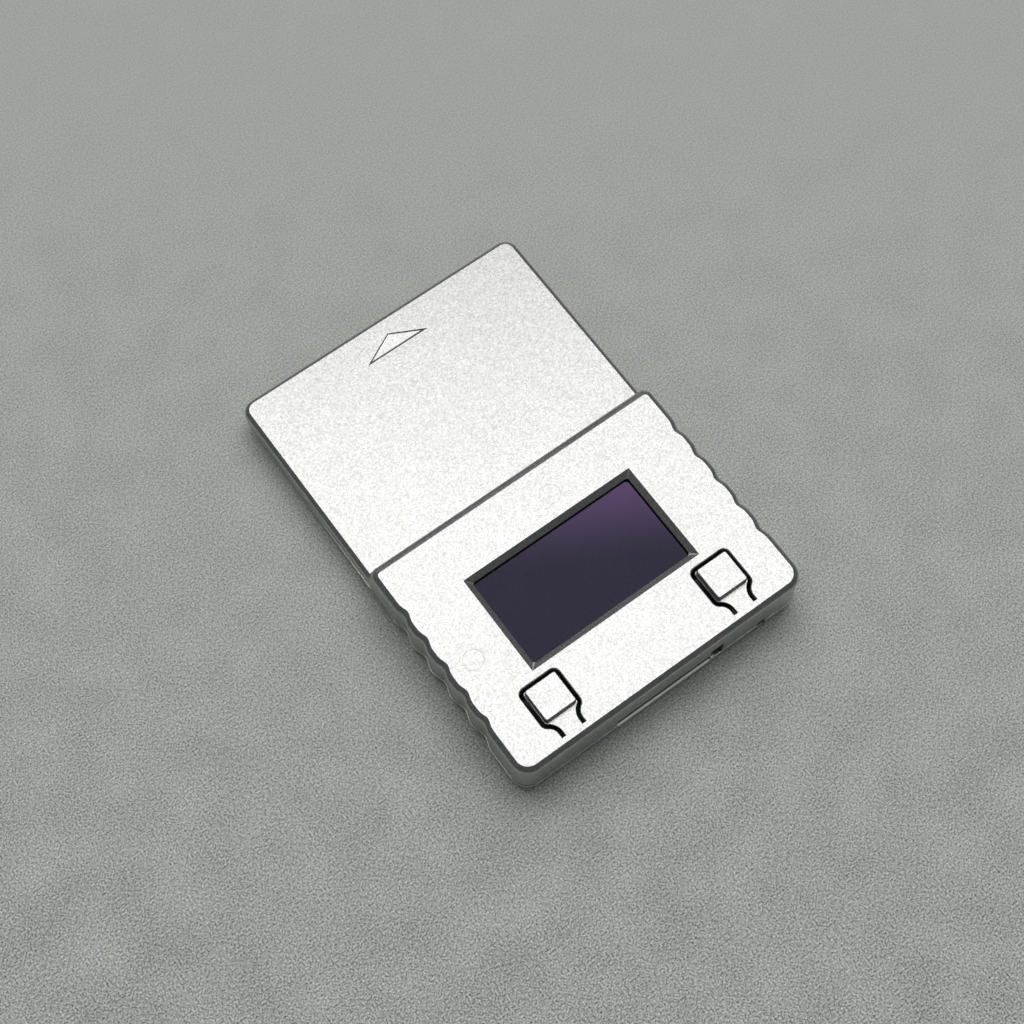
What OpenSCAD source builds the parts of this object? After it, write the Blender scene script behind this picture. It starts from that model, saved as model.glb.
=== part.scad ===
// Console memory card with a small display, two flexing buttons and a card slot.
// Sizes are in millimetres. X runs across the card, Y runs from the rear wall to the
// insertion end, Z is up. The origin is the middle of the underside.

/* [Piece to show] */
// The whole card, or the name of one piece

/* [Card outline] */
// Width of the raised grip
grip_width = 42.6; // [41.6:0.1:44]
// Width of the thin insertion part
tongue_width = 42.4; // [41.4:0.1:43.8]
// Length from the rear wall to the front wall
card_length = 61.2; // [60:0.1:66]
// Height of the grip above the table
grip_height = 8.0; // [7.8:0.1:9]
// Height of the insertion part above the table
tongue_height = 4.5; // [4.3:0.1:5]
// Height of the parting plane between the two shells
parting_height = 2.0; // [1.9:0.1:2.2]
// Length of the grip's flat top, from the rear wall to the step
grip_length = 31.2; // [30.6:0.1:34]
// Run of the sloped step, from its top edge to its foot
step_run = 1.9; // [1.4:0.1:2.6]
// Radius of the grip's rear corners
rear_corner = 2.4; // [1.5:0.1:3.5]
// Radius of the grip's corners at the step
step_corner = 1.2; // [0.8:0.1:1.6]
// Radius of the insertion part's front corners
front_corner = 1.8; // [1:0.1:2.4]
// Radius of the rounded top edges
edge_radius = 0.5; // [0.3:0.05:0.7]

/* [Shell walls] */
// Thickness of the side walls
wall = 1.4; // [1.2:0.1:1.6]
// Thickness of the grip's roof
roof = 1.2; // [1:0.1:1.4]
// Thickness of the insertion part's roof
tongue_roof = 1.0; // [0.8:0.1:1.1]
// Thickness of the lower shell's floor
floor_thickness = 1.0; // [0.8:0.1:1.1]
// How far the lower shell's rim stands out past the upper shell
rim_step = 0.12; // [0.05:0.01:0.2]
// Height of that rim
rim_height = 0.6; // [0.4:0.05:0.8]
// Length of the narrower nose under the insertion end
nose_length = 9.7; // [8.6:0.1:11]
// How far the nose stands in from the insertion part's sides
nose_step = 0.9; // [0.7:0.05:1.1]
// Distance from the rear wall to the recess for a rating label
label_from_rear = 22; // [20:0.5:24]
// Length of the recess for a rating label
label_length = 20; // [16:0.5:20]
// Distance from that recess to the card's sides
label_to_side = 8.3; // [8:0.1:10]

/* [Finger waves] */
// Number of waves on each side
wave_count = 5; // [3:1:5]
// Distance from one wave to the next
wave_pitch = 4.1; // [3.4:0.1:4.4]
// Depth of the waves at the parting plane
wave_depth = 0.5; // [0.2:0.05:0.6]
// Depth of the waves at the top edge
wave_depth_top = 0.34; // [0.1:0.02:0.4]
// Distance from the rear wall to the first wave
wave_from_rear = 8.45; // [7:0.05:9]

/* [Display window] */
// Distance from the inner side wall to the window, at the grip's top face
window_to_side = 7.35; // [7.1:0.05:8]
// Distance from the rear wall to the window, at the grip's top face
window_from_rear = 10.075; // [9.9:0.025:10.6]
// Distance from the window to the step's top edge
window_to_step = 7.075; // [6.8:0.025:7.6]
// How far each bevel leans in
window_bevel = 0.86; // [0.5:0.02:1]
// Depth of the display face below the grip's top face
display_depth = 0.75; // [0.6:0.05:0.85]

/* [Display module] */
// How far the display glass runs past each side of the clear window
glass_overlap = 1.66; // [1.4:0.02:1.8]
// Distance from the display glass to the step's top edge
glass_to_step = 1.94; // [1.8:0.02:2.2]
// Thickness of the display glass
glass_thickness = 0.7; // [0.5:0.05:0.8]
// How much shorter the cap glass behind it is
cap_shorter = 3.16; // [2.8:0.02:3.6]
// Thickness of the cap glass
cap_thickness = 0.5; // [0.4:0.05:0.7]
// Thickness of the polariser
polariser_thickness = 0.2; // [0.15:0.01:0.25]
// Distance from the rear wall to the glass
glass_from_rear = 10.0; // [9.8:0.02:10.1]
// Clearance round the glass in its pocket
glass_clearance = 0.25; // [0.1:0.05:0.3]
// Width of the flex tail
flex_width = 12.4; // [10:0.1:14]
// Thickness of the flex tail
flex_thickness = 0.15; // [0.1:0.01:0.2]
// Inside radius of the flex tail's bends
flex_bend = 0.35; // [0.25:0.05:0.45]
// Length of the flex tail's bond under the glass
flex_bond = 1.2; // [1:0.1:1.4]
// Width of the display driver chip
driver_width = 11; // [9:0.5:12]
// Length of the display driver chip
driver_length = 0.9; // [0.7:0.1:1]
// Thickness of the display driver chip
driver_height = 0.3; // [0.2:0.05:0.35]
// How far the foam cushion stands in from the glass's sides
cushion_inset = 2.85; // [2.6:0.05:3.2]
// Distance from the glass's rear edge to the cushion
cushion_from_rear = 5.4; // [5.3:0.1:5.8]
// How much shorter the cushion is than the cap glass
cushion_shorter = 6; // [6:0.1:7]

/* [Buttons] */
// Distance from the inner side wall to a button's middle
button_to_side = 7.05; // [6.8:0.05:7.4]
// Distance from the rear wall to a button's middle
button_from_rear = 6.15; // [6:0.05:6.2]
// Side of the raised pad at its top
pad_side = 4.2; // [3.8:0.05:4.3]
// Height of the raised pad above the grip
pad_rise = 0.95; // [0.5:0.05:1.1]
// How far the pad's walls lean out towards the foot
pad_draft = 0.1; // [0.02:0.02:0.14]
// Radius of the pad's corners
pad_corner = 0.45; // [0.3:0.05:0.6]
// Width of the ledge round the pad
pad_ledge = 0.15; // [0.05:0.01:0.2]
// Width of the slot round each button
key_slot = 0.5; // [0.4:0.05:0.55]
// Corner radius of the flexing tongue
key_corner = 0.4; // [0.3:0.05:0.5]
// Half width of the neck that flexes
neck_half = 1.22; // [1:0.02:1.4]
// Radius of the curve from the tongue to the neck
neck_curve = 2.05; // [1.8:0.05:2.2]
// Distance from the pad's middle to the root of the neck
key_reach = 4.76; // [4.7:0.02:4.8]
// Thickness of the tongue
key_thickness = 0.9; // [0.7:0.05:1]
// Gap at the root, where the tongue is parted from the shell to make its hinge
root_gap = 0.04; // [0.03:0.01:0.08]
// Diameter of the post under the pad
post_diameter = 2.0; // [1.4:0.1:2.4]
// Gap between the post and the switch plunger
post_gap = 0.07; // [0.06:0.01:0.1]

/* [Tactile switches] */
// Side of the square switch body
switch_side = 4.5; // [4.2:0.1:4.8]
// Height of the switch body
switch_height = 2.6; // [2.3:0.1:2.7]
// Thickness of the steel cover plate
switch_cover = 0.2; // [0.15:0.01:0.25]
// Height of the switch from the board to the plunger's tip
switch_total = 3.8; // [3.6:0.05:3.9]
// Diameter of the plunger
plunger_diameter = 2.2; // [2:0.1:2.6]
// Radial clearance round the plunger, which tilts with its button
plunger_clearance = 0.18; // [0.17:0.01:0.2]
// Diameter of the plunger's flange
flange_diameter = 3.2; // [2.8:0.1:3.5]
// Thickness of the plunger's flange
flange_thickness = 0.5; // [0.3:0.05:0.6]
// Gap between the flange and the cover plate
flange_gap = 0.05; // [0.03:0.01:0.08]
// Travel of the plunger
plunger_travel = 0.25; // [0.2:0.01:0.27]

/* [Circuit board] */
// Thickness of the board
board_thickness = 1.0; // [0.8:0.05:1.1]
// Height of the board's underside above the floor
board_lift = 0.3; // [0.25:0.05:0.4]
// Clearance round the board
board_clearance = 0.1; // [0.05:0.01:0.15]
// Thickness of the lower shell's locating ribs
rib = 0.4; // [0.3:0.05:0.5]
// Thickness of the gold edge contacts
pad_plating = 0.1; // [0.08:0.01:0.15]
// Pitch of the edge contacts in a group
contact_pitch = 3.4; // [3:0.1:3.6]
// Extra space between two groups of contacts
contact_space = 1.6; // [1:0.1:2]
// Width of one edge contact
contact_width = 2.2; // [1.8:0.1:2.4]
// Length of one edge contact
contact_length = 6.4; // [5:0.1:6.8]
// Clearance of the comb beside each contact
contact_clearance = 0.3; // [0.2:0.05:0.35]

/* [Card slot] */
// How far the card mouth runs past the reader's left side
mouth_past_left = 0.15; // [0.05:0.05:0.4]
// How far the card mouth runs past the reader's right side
mouth_past_right = 2.05; // [1.6:0.05:2.3]
// Height of the card mouth above the parting plane, behind its skin
mouth_height = 2.3; // [2.25:0.05:2.5]
// Height of the opening for the card in that skin
slit_height = 1.6; // [1.4:0.05:1.7]
// Width of the notch at the mouth's right end
notch_width = 1.9; // [1.5:0.05:1.95]
// Height of that notch above the parting plane
notch_height = 2.9; // [2.6:0.05:3.1]
// Thickness of the lip below the card mouth
mouth_lip = 0.45; // [0.3:0.05:0.6]
// Distance from the left switch to the card reader
reader_to_left = 3.45; // [3.3:0.05:3.6]
// Distance from the card reader to the right switch
reader_to_right = 3.85; // [3.7:0.05:4]
// Length of the card reader
reader_length = 14.5; // [14:0.1:15]
// Height of the card reader
reader_height = 1.85; // [1.7:0.05:1.9]
// Thickness of the reader's steel cover
reader_sheet = 0.2; // [0.15:0.01:0.25]
// Thickness of the reader base's side walls
reader_wall = 1.3; // [1.1:0.05:1.4]
// Distance from such a wall to the space of the outer contact spring
spring_to_wall = 1.25; // [1:0.05:1.4]
// Length of one contact spring
spring_length = 3.6; // [3:0.1:4]
// Width of the tongues lanced in the reader's cover
lance_width = 2.1; // [1.8:0.1:2.3]
// Length of those tongues
lance_length = 4.4; // [4:0.1:4.8]
// Width of the cut round a tongue
lance_gap = 0.35; // [0.25:0.05:0.45]

/* [Chips and small parts] */
// Side of the square controller chip
controller_side = 7; // [6:0.1:7.4]
// Width of the memory chip
memory_width = 6; // [5:0.1:6.4]
// Length of the memory chip
memory_length = 5; // [4:0.1:6]
// Side of the square logic chip
logic_side = 5; // [4:0.1:5.4]
// Thickness of the chips
chip_height = 0.9; // [0.7:0.05:1]
// Distance from the middle line to the controller chip
controller_offset = 8; // [7.8:0.1:9]
// Distance from the middle line to the memory chip
memory_offset = 1.5; // [1.2:0.1:1.8]
// Distance from the middle line to the logic chip
logic_offset = 10; // [9.6:0.1:11]
// Distance from the step's foot to the middle of the chips
chips_from_step = 9.5; // [9.2:0.1:9.9]
// Diameter of the round mark on a chip
chip_mark = 0.7; // [0.5:0.1:0.8]
// Width of the clock crystal
crystal_width = 3.2; // [2.8:0.1:3.4]
// Length of the clock crystal
crystal_length = 2.5; // [2:0.1:2.6]
// Thickness of the clock crystal
crystal_height = 0.7; // [0.5:0.05:0.8]
// Width of the voltage regulator
regulator_width = 2.9; // [2.6:0.1:3.1]
// Length of the voltage regulator's body
regulator_length = 1.6; // [1.4:0.1:1.8]
// Thickness of the voltage regulator's body
regulator_height = 0.95; // [0.8:0.05:1]
// Distance from the board's side to the voltage regulator
regulator_to_side = 5.3; // [5:0.1:6]
// Length of a capacitor or a resistor
small_length = 1.6; // [1.4:0.05:1.8]
// Width of a capacitor or a resistor
small_width = 0.76; // [0.6:0.02:0.85]
// Thickness of a capacitor
capacitor_height = 0.7; // [0.5:0.05:0.8]
// Thickness of a resistor
resistor_height = 0.45; // [0.35:0.05:0.5]
// Distance from one small part to the next
small_pitch = 2.9; // [2.7:0.05:3]
// Distance from the board's left side to the first small part
small_to_left = 5.8; // [5.4:0.1:6.2]
// Distance from the last small part to the board's right side
small_to_right = 8.8; // [8.4:0.1:9.2]
// Distance from the step's foot to the capacitors
capacitors_from_step = 15.2; // [14.8:0.1:15.4]
// Distance from the step's foot to the resistors on the left
resistors_from_step = 3.4; // [3.2:0.1:3.8]
// How far the resistors on the right are set back
resistors_back = 2.2; // [2:0.1:2.4]

/* [Screws] */
// Distance from the inner side wall to a screw
screw_to_side = 2.5; // [2.4:0.1:2.7]
// Distance from the rear wall to a screw
screw_from_rear = 15.3; // [14.6:0.1:16]
// Diameter of the screw's shank
screw_shank = 1.9; // [1.7:0.05:2]
// Diameter of the screw's head
screw_head = 3.4; // [3:0.1:3.5]
// Thickness of the screw's head
screw_head_height = 0.5; // [0.4:0.05:0.55]
// Length of the screw below its head
screw_length = 5.0; // [4:0.1:5.2]
// Clearance round the shank in the boss
screw_fit = 0.04; // [0.02:0.01:0.05]
// Clearance round the shank in the board and the lower shell
screw_clearance = 0.3; // [0.2:0.05:0.4]
// Diameter of the screw bosses
boss_diameter = 4.4; // [4:0.1:4.8]

/* [Hidden] */
$fn = 48;

silver = [0.80, 0.81, 0.81];
board_green = [0.05, 0.20, 0.12];
chip_black = [0.06, 0.06, 0.07];
steel = [0.72, 0.73, 0.74];
gold = [0.80, 0.62, 0.24];
violet = [0.17, 0.15, 0.21];

// Small overcut that keeps cuts clear of the faces they open
cut = 0.1;
grip_half = grip_width / 2;
tongue_half = tongue_width / 2;
rear_y = -(card_length - rim_step) / 2;
front_y = rear_y + card_length;
step_top_y = rear_y + grip_length;
step_foot_y = step_top_y + step_run;
// Lean of the step's face, taken back by the rounding at its top edge
step_lean = (step_run - edge_radius) / (grip_height - tongue_height);
inner_half = min(grip_half, tongue_half) - wall + 0.1;
inner_rear_y = rear_y + wall - 0.1;
inner_front_y = front_y - wall + 0.1;
button_offset = inner_half - button_to_side;
screw_offset = inner_half - screw_to_side;
roof_z = grip_height - roof;
tongue_roof_z = tongue_height - tongue_roof;

// Depth of the waves at a height, and how narrow their valleys are there
wave_top_z = grip_height - edge_radius;
wave_first_y = rear_y + wave_from_rear;
wave_last_y = wave_first_y + (wave_count - 1) * wave_pitch;
wave_steps = 10 * wave_count;

// Board levels
board_z = floor_thickness + board_lift;
board_top = board_z + board_thickness;
board_half = inner_half - rib - 2 * board_clearance;
nose_y = front_y - nose_length;
nose_half = tongue_half - nose_step;
nose_front_y = front_y - nose_step / 2;
board_front_y = nose_front_y - (nose_half - board_half - board_clearance) - board_clearance;
board_rear_y = inner_rear_y + 0.2;
board_tab_y = rear_y + mouth_lip + board_clearance;

// Display levels, from the face down
display_z = grip_height - display_depth;
glass_top = display_z - polariser_thickness;
glass_z = glass_top - glass_thickness;
cap_z = glass_z - cap_thickness;
window_rear_y = rear_y + window_from_rear;
window_front_y = step_top_y - window_to_step;
window_y = (window_rear_y + window_front_y) / 2;
window_clear_width = 2 * (inner_half - window_to_side - window_bevel);
window_clear_length = window_front_y - window_rear_y - 2 * window_bevel;
glass_width = window_clear_width + 2 * glass_overlap;
glass_rear_y = rear_y + glass_from_rear;
glass_front_y = step_top_y - glass_to_step;
glass_length = glass_front_y - glass_rear_y;
cap_length = glass_length - cap_shorter;
cushion_width = glass_width - 2 * cushion_inset;
cushion_length = cap_length - cushion_shorter;

// Button frame
button_y = rear_y + button_from_rear;
key_half = pad_side / 2 + pad_draft + pad_ledge;
key_z = grip_height - key_thickness;
key_bend_v = key_half - key_corner + 0.05;
neck_turn = acos((neck_half + neck_curve - key_half + key_corner) / (key_corner + neck_curve));
neck_v = key_bend_v + (key_corner + neck_curve) * sin(neck_turn);
plunger_tip = board_top + switch_total;
switch_top = board_top + switch_height;
flange_z = switch_top - flange_gap - flange_thickness;

// Card reader
reader_left = reader_to_left - (button_offset - switch_side / 2);
reader_width = button_offset - switch_side / 2 - reader_to_right - reader_left;
spring_pitch = (reader_width - 2 * reader_wall - 2 * spring_to_wall) / 8;
spring_width = 0.55 * spring_pitch;
mouth_left = reader_left - mouth_past_left;
mouth_right = reader_left + reader_width + mouth_past_right;
reader_y = rear_y + mouth_lip + 0.05;
reader_top = board_top + reader_height;
mouth_skin = mouth_lip - 0.05;

// Screws and bosses
screw_y = rear_y + screw_from_rear;
seat_z = screw_head_height + 0.15;
boss_top = seat_z + screw_length + 0.3;

// One side of a shell's outline, from the rear corner to the front corner.
// Each list entry is [x, y]. The inset d moves the outline inwards.
function wave(y, depth, narrow) =
    (y < wave_first_y - wave_pitch / 2 || y > wave_last_y + wave_pitch / 2) ? 0 :
    depth * pow((1 + cos(360 * (y - wave_first_y) / wave_pitch)) / 2, narrow);

function side_points(half, d, depth, narrow) = [
    for (i = [0 : wave_steps])
        let (y = wave_first_y - wave_pitch / 2 + i * wave_count * wave_pitch / wave_steps)
        [half - d - wave(y, depth, narrow), y]
];

function corner_points(x, y, radius, from, steps) = [
    for (i = [0 : steps])
        let (a = from + 90 * i / steps)
        [x - radius + radius * cos(a), y + radius * sin(a)]
];

// Closed outline at height z: rear corner, waved side, front corner, then mirrored
function shell_loop(half, rear, front, rear_r, front_r, d, depth, narrow, z, waved = true) =
    let (
        rr = max(rear_r - d, 0.05),
        fr = max(front_r - d, 0.05),
        right = concat(
            corner_points(half - d, rear + d + rr, rr, -90, 7),
            waved ? side_points(half, d, depth, narrow) : [],
            corner_points(half - d, front - fr, fr, 0, 6)
        ),
        n = len(right)
    )
    concat(
        [for (p = right) [p[0], p[1], z]],
        [for (i = [n - 1 : -1 : 0]) [-right[i][0], right[i][1], z]]
    );

function rounded_square_loop(half, r, z) = [
    for (k = [0 : 3])
        for (i = [0 : 5])
            let (a = 90 * k + 18 * i)
            [
                (k == 0 || k == 3 ? 1 : -1) * (half - r) + r * cos(a),
                (k < 2 ? 1 : -1) * (half - r) + r * sin(a),
                z
            ]
];

// Solid through a stack of outlines that have the same number of points
module loft(loops) {
    n = len(loops[0]);
    m = len(loops);
    points = [for (loop = loops) each loop];
    sides = [
        for (j = [0 : m - 2])
            for (i = [0 : n - 1])
                each [
                    [j * n + i, (j + 1) * n + i, j * n + (i + 1) % n],
                    [j * n + (i + 1) % n, (j + 1) * n + i, (j + 1) * n + (i + 1) % n]
                ]
    ];
    base = [for (i = [0 : n - 1]) i];
    lid = [for (i = [n - 1 : -1 : 0]) (m - 1) * n + i];
    polyhedron(points, concat([base], sides, [lid]), convexity = 8);
}

// Loft that runs on past both ends and is trimmed flat at heights low and high
module trimmed_loft(loops, low, high) {
    first = [for (p = loops[0]) [p[0], p[1], low - 1]];
    last = [for (p = loops[len(loops) - 1]) [p[0], p[1], high + 1]];
    intersection() {
        loft(concat([first], loops, [last]));
        translate([-grip_width, -card_length, low])
            cube([2 * grip_width, 2 * card_length, high - low]);
    }
}

// Levels of a rounded top edge: [height above the edge's start, inset]
function edge_level(a) = [edge_radius * sin(a), edge_radius * (1 - cos(a))];

function grip_loop(z, d, t) = shell_loop(
    grip_half,
    rear_y,
    step_foot_y - max(z - tongue_height, 0) * step_lean - d,
    rear_corner,
    step_corner,
    d,
    wave_depth + (wave_depth_top - wave_depth) * t,
    1 + 1.2 * t,
    z
);

module grip_skin() {
    trimmed_loft(
        concat(
            [grip_loop(parting_height, 0, 0)],
            [grip_loop(tongue_height, 0, 0.45)],
            [grip_loop(wave_top_z, 0, 1)],
            [for (a = [22.5, 45, 67.5, 90])
                grip_loop(wave_top_z + edge_level(a)[0], edge_level(a)[1], 1)]
        ),
        parting_height,
        grip_height
    );
}

function tongue_loop(z, d) = shell_loop(
    tongue_half,
    step_top_y - 2,
    front_y - d,
    1,
    front_corner,
    d,
    0,
    1,
    z,
    false
);

module tongue_skin() {
    trimmed_loft(
        concat(
            [tongue_loop(parting_height, 0)],
            [tongue_loop(tongue_height - edge_radius, 0)],
            [for (a = [22.5, 45, 67.5, 90])
                tongue_loop(tongue_height - edge_radius + edge_level(a)[0], edge_level(a)[1])]
        ),
        parting_height,
        tongue_height
    );
}

// Hollow of the upper shell: a side profile pushed across the card
module upper_hollow() {
    top_y = step_foot_y - (roof_z - tongue_height) * step_lean - wall;
    foot_y = step_foot_y - (tongue_roof_z - tongue_height) * step_lean - wall;
    rotate([90, 0, 90])
        translate([0, 0, -inner_half])
            linear_extrude(2 * inner_half)
                polygon([
                    [inner_rear_y, parting_height - cut],
                    [inner_rear_y, roof_z],
                    [top_y, roof_z],
                    [foot_y, tongue_roof_z],
                    [inner_front_y, tongue_roof_z],
                    [inner_front_y, parting_height - cut]
                ]);
}

// Bevelled window: straight at the display's face, then leaning out to the top face
module window_cut() {
    e = 0.2;
    x = window_clear_width / 2;
    y = window_clear_length / 2;
    lean = window_bevel / display_depth;
    far = window_bevel + e * lean;
    levels = [[0, display_z - e], [0, display_z], [far, grip_height + e]];
    loft([
        for (level = levels)
            [
                [x + level[0], window_y - y - level[0], level[1]],
                [x + level[0], window_y + y + level[0], level[1]],
                [-x - level[0], window_y + y + level[0], level[1]],
                [-x - level[0], window_y - y - level[0], level[1]]
            ]
    ]);
}

// Half outline of a button's tongue, grown by g. Rearwards is towards -Y.
function key_side(g) =
    let (
        ax = key_half - key_corner,
        bx = neck_half + neck_curve,
        ra = key_corner + g,
        rb = neck_curve - g
    )
    concat(
        [for (i = [0 : 5]) let (a = 90 - 18 * i) [ax + ra * cos(a), ax + ra * sin(a)]],
        [for (i = [0 : 5]) let (a = neck_turn * i / 5) [ax + ra * cos(a), -key_bend_v - ra * sin(a)]],
        [for (i = [1 : 6]) let (a = neck_turn * (1 - i / 6)) [bx - rb * cos(a), -neck_v + rb * sin(a)]]
    );

module key_outline(g, reach) {
    side = key_side(g);
    n = len(side);
    polygon(concat(
        side,
        [[neck_half + g, -reach], [-neck_half - g, -reach]],
        [for (i = [n - 1 : -1 : 0]) [-side[i][0], side[i][1]]]
    ));
}

module key_opening(side) {
    translate([side * button_offset, button_y, roof_z - cut])
        linear_extrude(roof + 2 * cut)
            key_outline(key_slot, key_reach);
}

// Arrow recess: a triangle whose floor slopes down from the tip to the straight edge
module arrow_cut() {
    base_y = front_y - 4.93;
    tip_y = front_y - 2.63;
    deep = 0.4;
    run = tip_y - base_y;
    intersection() {
        translate([0, 0, tongue_height - 2])
            linear_extrude(4)
                polygon([[-4.55, base_y], [4.55, base_y], [0, tip_y]]);
        translate([0, base_y, tongue_height - deep])
            rotate([atan(deep / run), 0, 0])
                translate([-10, -5, 0])
                    cube([20, 20, 3]);
    }
}

module boss(side) {
    translate([side * screw_offset, screw_y, board_top])
        cylinder(d = boss_diameter, h = roof_z - board_top + roof / 2);
}

module upper_shell() {
    color(silver)
        difference() {
            union() {
                difference() {
                    union() {
                        grip_skin();
                        tongue_skin();
                    }
                    upper_hollow();
                }
                boss(-1);
                boss(1);
                // Ribs beside the display glass
                for (s = [-1, 1])
                    translate([s * (glass_width / 2 + glass_clearance + 0.4) - 0.4,
                        glass_rear_y + 8, cap_z])
                        cube([0.8, glass_length - 9, grip_height - roof / 2 - cap_z]);
                // Stops that hold the board down in the insertion part
                for (s = [-1, 1])
                    for (y = [step_foot_y + 4, front_y - 6])
                        translate([s * (board_half - 1) - 0.6, y - 1.5, board_top])
                            cube([1.2, 3, tongue_height - tongue_roof / 2 - board_top]);
                // Rib above the card reader
                translate([reader_left + 2, reader_y + 3, reader_top + board_clearance])
                    cube([reader_width - 4, 0.8, roof_z - reader_top]);
            }
            // Pocket for the display glass
            translate([-glass_width / 2 - glass_clearance, glass_rear_y - glass_clearance,
                roof_z - cut])
                cube([glass_width + 2 * glass_clearance, glass_length + 2 * glass_clearance,
                    display_z - roof_z + cut]);
            window_cut();
            key_opening(-1);
            key_opening(1);
            arrow_cut();
            // Card mouth behind the skin of the rear wall
            translate([mouth_left, rear_y + mouth_skin, parting_height - cut])
                cube([mouth_right - mouth_left, wall + 1, mouth_height + cut]);
            // Low opening for the card, through the skin
            translate([mouth_left, rear_y - 1, parting_height - cut])
                cube([mouth_right - mouth_left, wall + 1, slit_height + cut]);
            // Taller notch beside the card reader
            translate([mouth_right - notch_width, rear_y - 1, parting_height - cut])
                cube([notch_width, wall + 2, notch_height + cut]);
            // Screw pilots
            for (s = [-1, 1])
                translate([s * screw_offset, screw_y, board_top - cut])
                    cylinder(d = screw_shank + 2 * screw_fit, h = boss_top - board_top + cut);
        }
}

// Lower shell outline at height z, standing in by d (or out, when d is below zero)
function tray_loop(z, d) = shell_loop(
    grip_half,
    rear_y,
    nose_y,
    rear_corner,
    0.3,
    d,
    wave_depth,
    1,
    z
);

module tray_skin() {
    low = parting_height - rim_height;
    r = rim_height / 2;
    trimmed_loft(
        concat(
            [for (a = [0, 30, 60, 90])
                tray_loop(0.8 - 0.8 * cos(a), 0.9 - 0.8 * sin(a))],
            [tray_loop(low - 0.05, 0.1)],
            [for (a = [-60, -20, 20, 60])
                tray_loop(low + r + r * sin(a), -rim_step * cos(a) / cos(20))],
            [tray_loop(parting_height, 0.02)]
        ),
        0,
        parting_height
    );
}

// Middle of edge contact k, counted from the left: groups of three, two and three
function contact_x(k) =
    (k - 3.5) * contact_pitch + (k < 3 ? -1 : k > 4 ? 1 : 0) * contact_space;

// Plan of the nose, moved in by d; its rear end lies inside the tray
module nose_outline(d) {
    x = nose_half - d;
    y = nose_front_y - d;
    r = max(front_corner - 0.9 - d, 0.2);
    right = corner_points(x, y - r, r, 0, 6);
    polygon(concat(
        [[-x, nose_y - 1], [x, nose_y - 1]],
        right,
        [for (i = [6 : -1 : 0]) [-right[i][0], right[i][1]]]
    ));
}

module lower_shell() {
    color(silver)
        difference() {
            union() {
                difference() {
                    tray_skin();
                    translate([-inner_half, inner_rear_y, floor_thickness])
                        cube([2 * inner_half, nose_y - 1 - inner_rear_y, parting_height]);
                    translate([-board_half - board_clearance, inner_rear_y, floor_thickness])
                        cube([2 * (board_half + board_clearance), card_length, parting_height]);
                }
                // Narrower nose under the insertion end
                difference() {
                    linear_extrude(parting_height)
                        nose_outline(0);
                    translate([0, 0, floor_thickness])
                        linear_extrude(parting_height)
                            nose_outline(nose_half - board_half - board_clearance);
                }
                // Locating ribs beside the board
                for (s = [-1, 1])
                    for (y = [rear_y + 5, rear_y + 21, step_foot_y + 3, nose_y - 6])
                        translate([s * (inner_half - board_clearance - rib / 2) - rib / 2, y,
                            floor_thickness - 0.2])
                            cube([rib, 3, parting_height - floor_thickness + 1.2]);
                // Seats under the board at the screws and along its edges
                for (s = [-1, 1])
                    translate([s * screw_offset, screw_y, floor_thickness - 0.2])
                        cylinder(d = boss_diameter + 0.4, h = board_lift + 0.2);
                for (s = [-1, 1])
                    for (y = [rear_y + 3, step_foot_y + 8, nose_y + 6])
                        translate([s * (board_half - 1.5) - 1, y, floor_thickness - 0.2])
                            cube([2, 1, board_lift + 0.2]);
                // Seat under the card reader
                translate([-5, rear_y + 6, floor_thickness - 0.2])
                    cube([10, 1, board_lift + 0.2]);
            }
            // Comb that opens each edge contact to the console's pins
            for (k = [0 : 7])
                translate([contact_x(k) - contact_width / 2 - contact_clearance,
                    board_front_y - contact_length - 0.6, -cut])
                    cube([contact_width + 2 * contact_clearance, 20, board_z + cut]);
            // Screw holes and head recesses
            for (s = [-1, 1])
                translate([s * screw_offset, screw_y, -cut])
                    cylinder(d = screw_shank + 2 * screw_clearance, h = board_z + 2 * cut);
            for (s = [-1, 1])
                translate([s * screw_offset, screw_y, -cut])
                    cylinder(d = screw_head + 0.4, h = seat_z + cut);
            // Shallow recess for a rating label, left plain
            translate([label_to_side - grip_half, rear_y + label_from_rear, -cut])
                cube([2 * (grip_half - label_to_side), label_length, 0.15 + cut]);
            // Room behind the lip of the card mouth
            translate([mouth_left, rear_y + mouth_lip, floor_thickness])
                cube([mouth_right - mouth_left, wall, parting_height]);
            // Small slit at the parting plane
            translate([14.2, rear_y - 1, parting_height - 0.55])
                cube([1.3, 1.25, 1]);
        }
}

module button(side) {
    half = pad_side / 2;
    color(silver)
        translate([side * button_offset, button_y, 0])
            union() {
                translate([0, 0, key_z])
                    linear_extrude(key_thickness)
                        key_outline(0, key_reach - root_gap);
                loft([
                    for (level = [
                        [-key_thickness / 2, pad_draft + 0.02],
                        [0, pad_draft],
                        [pad_rise - 0.12, 0],
                        [pad_rise - 0.035, -0.04],
                        [pad_rise, -0.12]
                    ])
                        rounded_square_loop(half + level[1], pad_corner - pad_draft + level[1],
                            grip_height + level[0])
                ]);
                translate([0, 0, plunger_tip + post_gap])
                    cylinder(d = post_diameter, h = key_z + key_thickness / 2 - plunger_tip - post_gap);
            }
}

module left_button() {
    button(-1);
}

module right_button() {
    button(1);
}

module main_board() {
    color(board_green)
        difference() {
            union() {
                translate([-board_half, board_rear_y, board_z])
                    cube([2 * board_half, board_front_y - board_rear_y, board_thickness]);
                translate([mouth_left + 0.2, board_tab_y, board_z])
                    cube([mouth_right - mouth_left - 0.4, board_rear_y - board_tab_y + 1,
                        board_thickness]);
            }
            for (s = [-1, 1])
                translate([s * screw_offset, screw_y, board_z - cut])
                    cylinder(d = screw_shank + 2 * screw_clearance, h = board_thickness + 2 * cut);
        }
}

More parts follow.
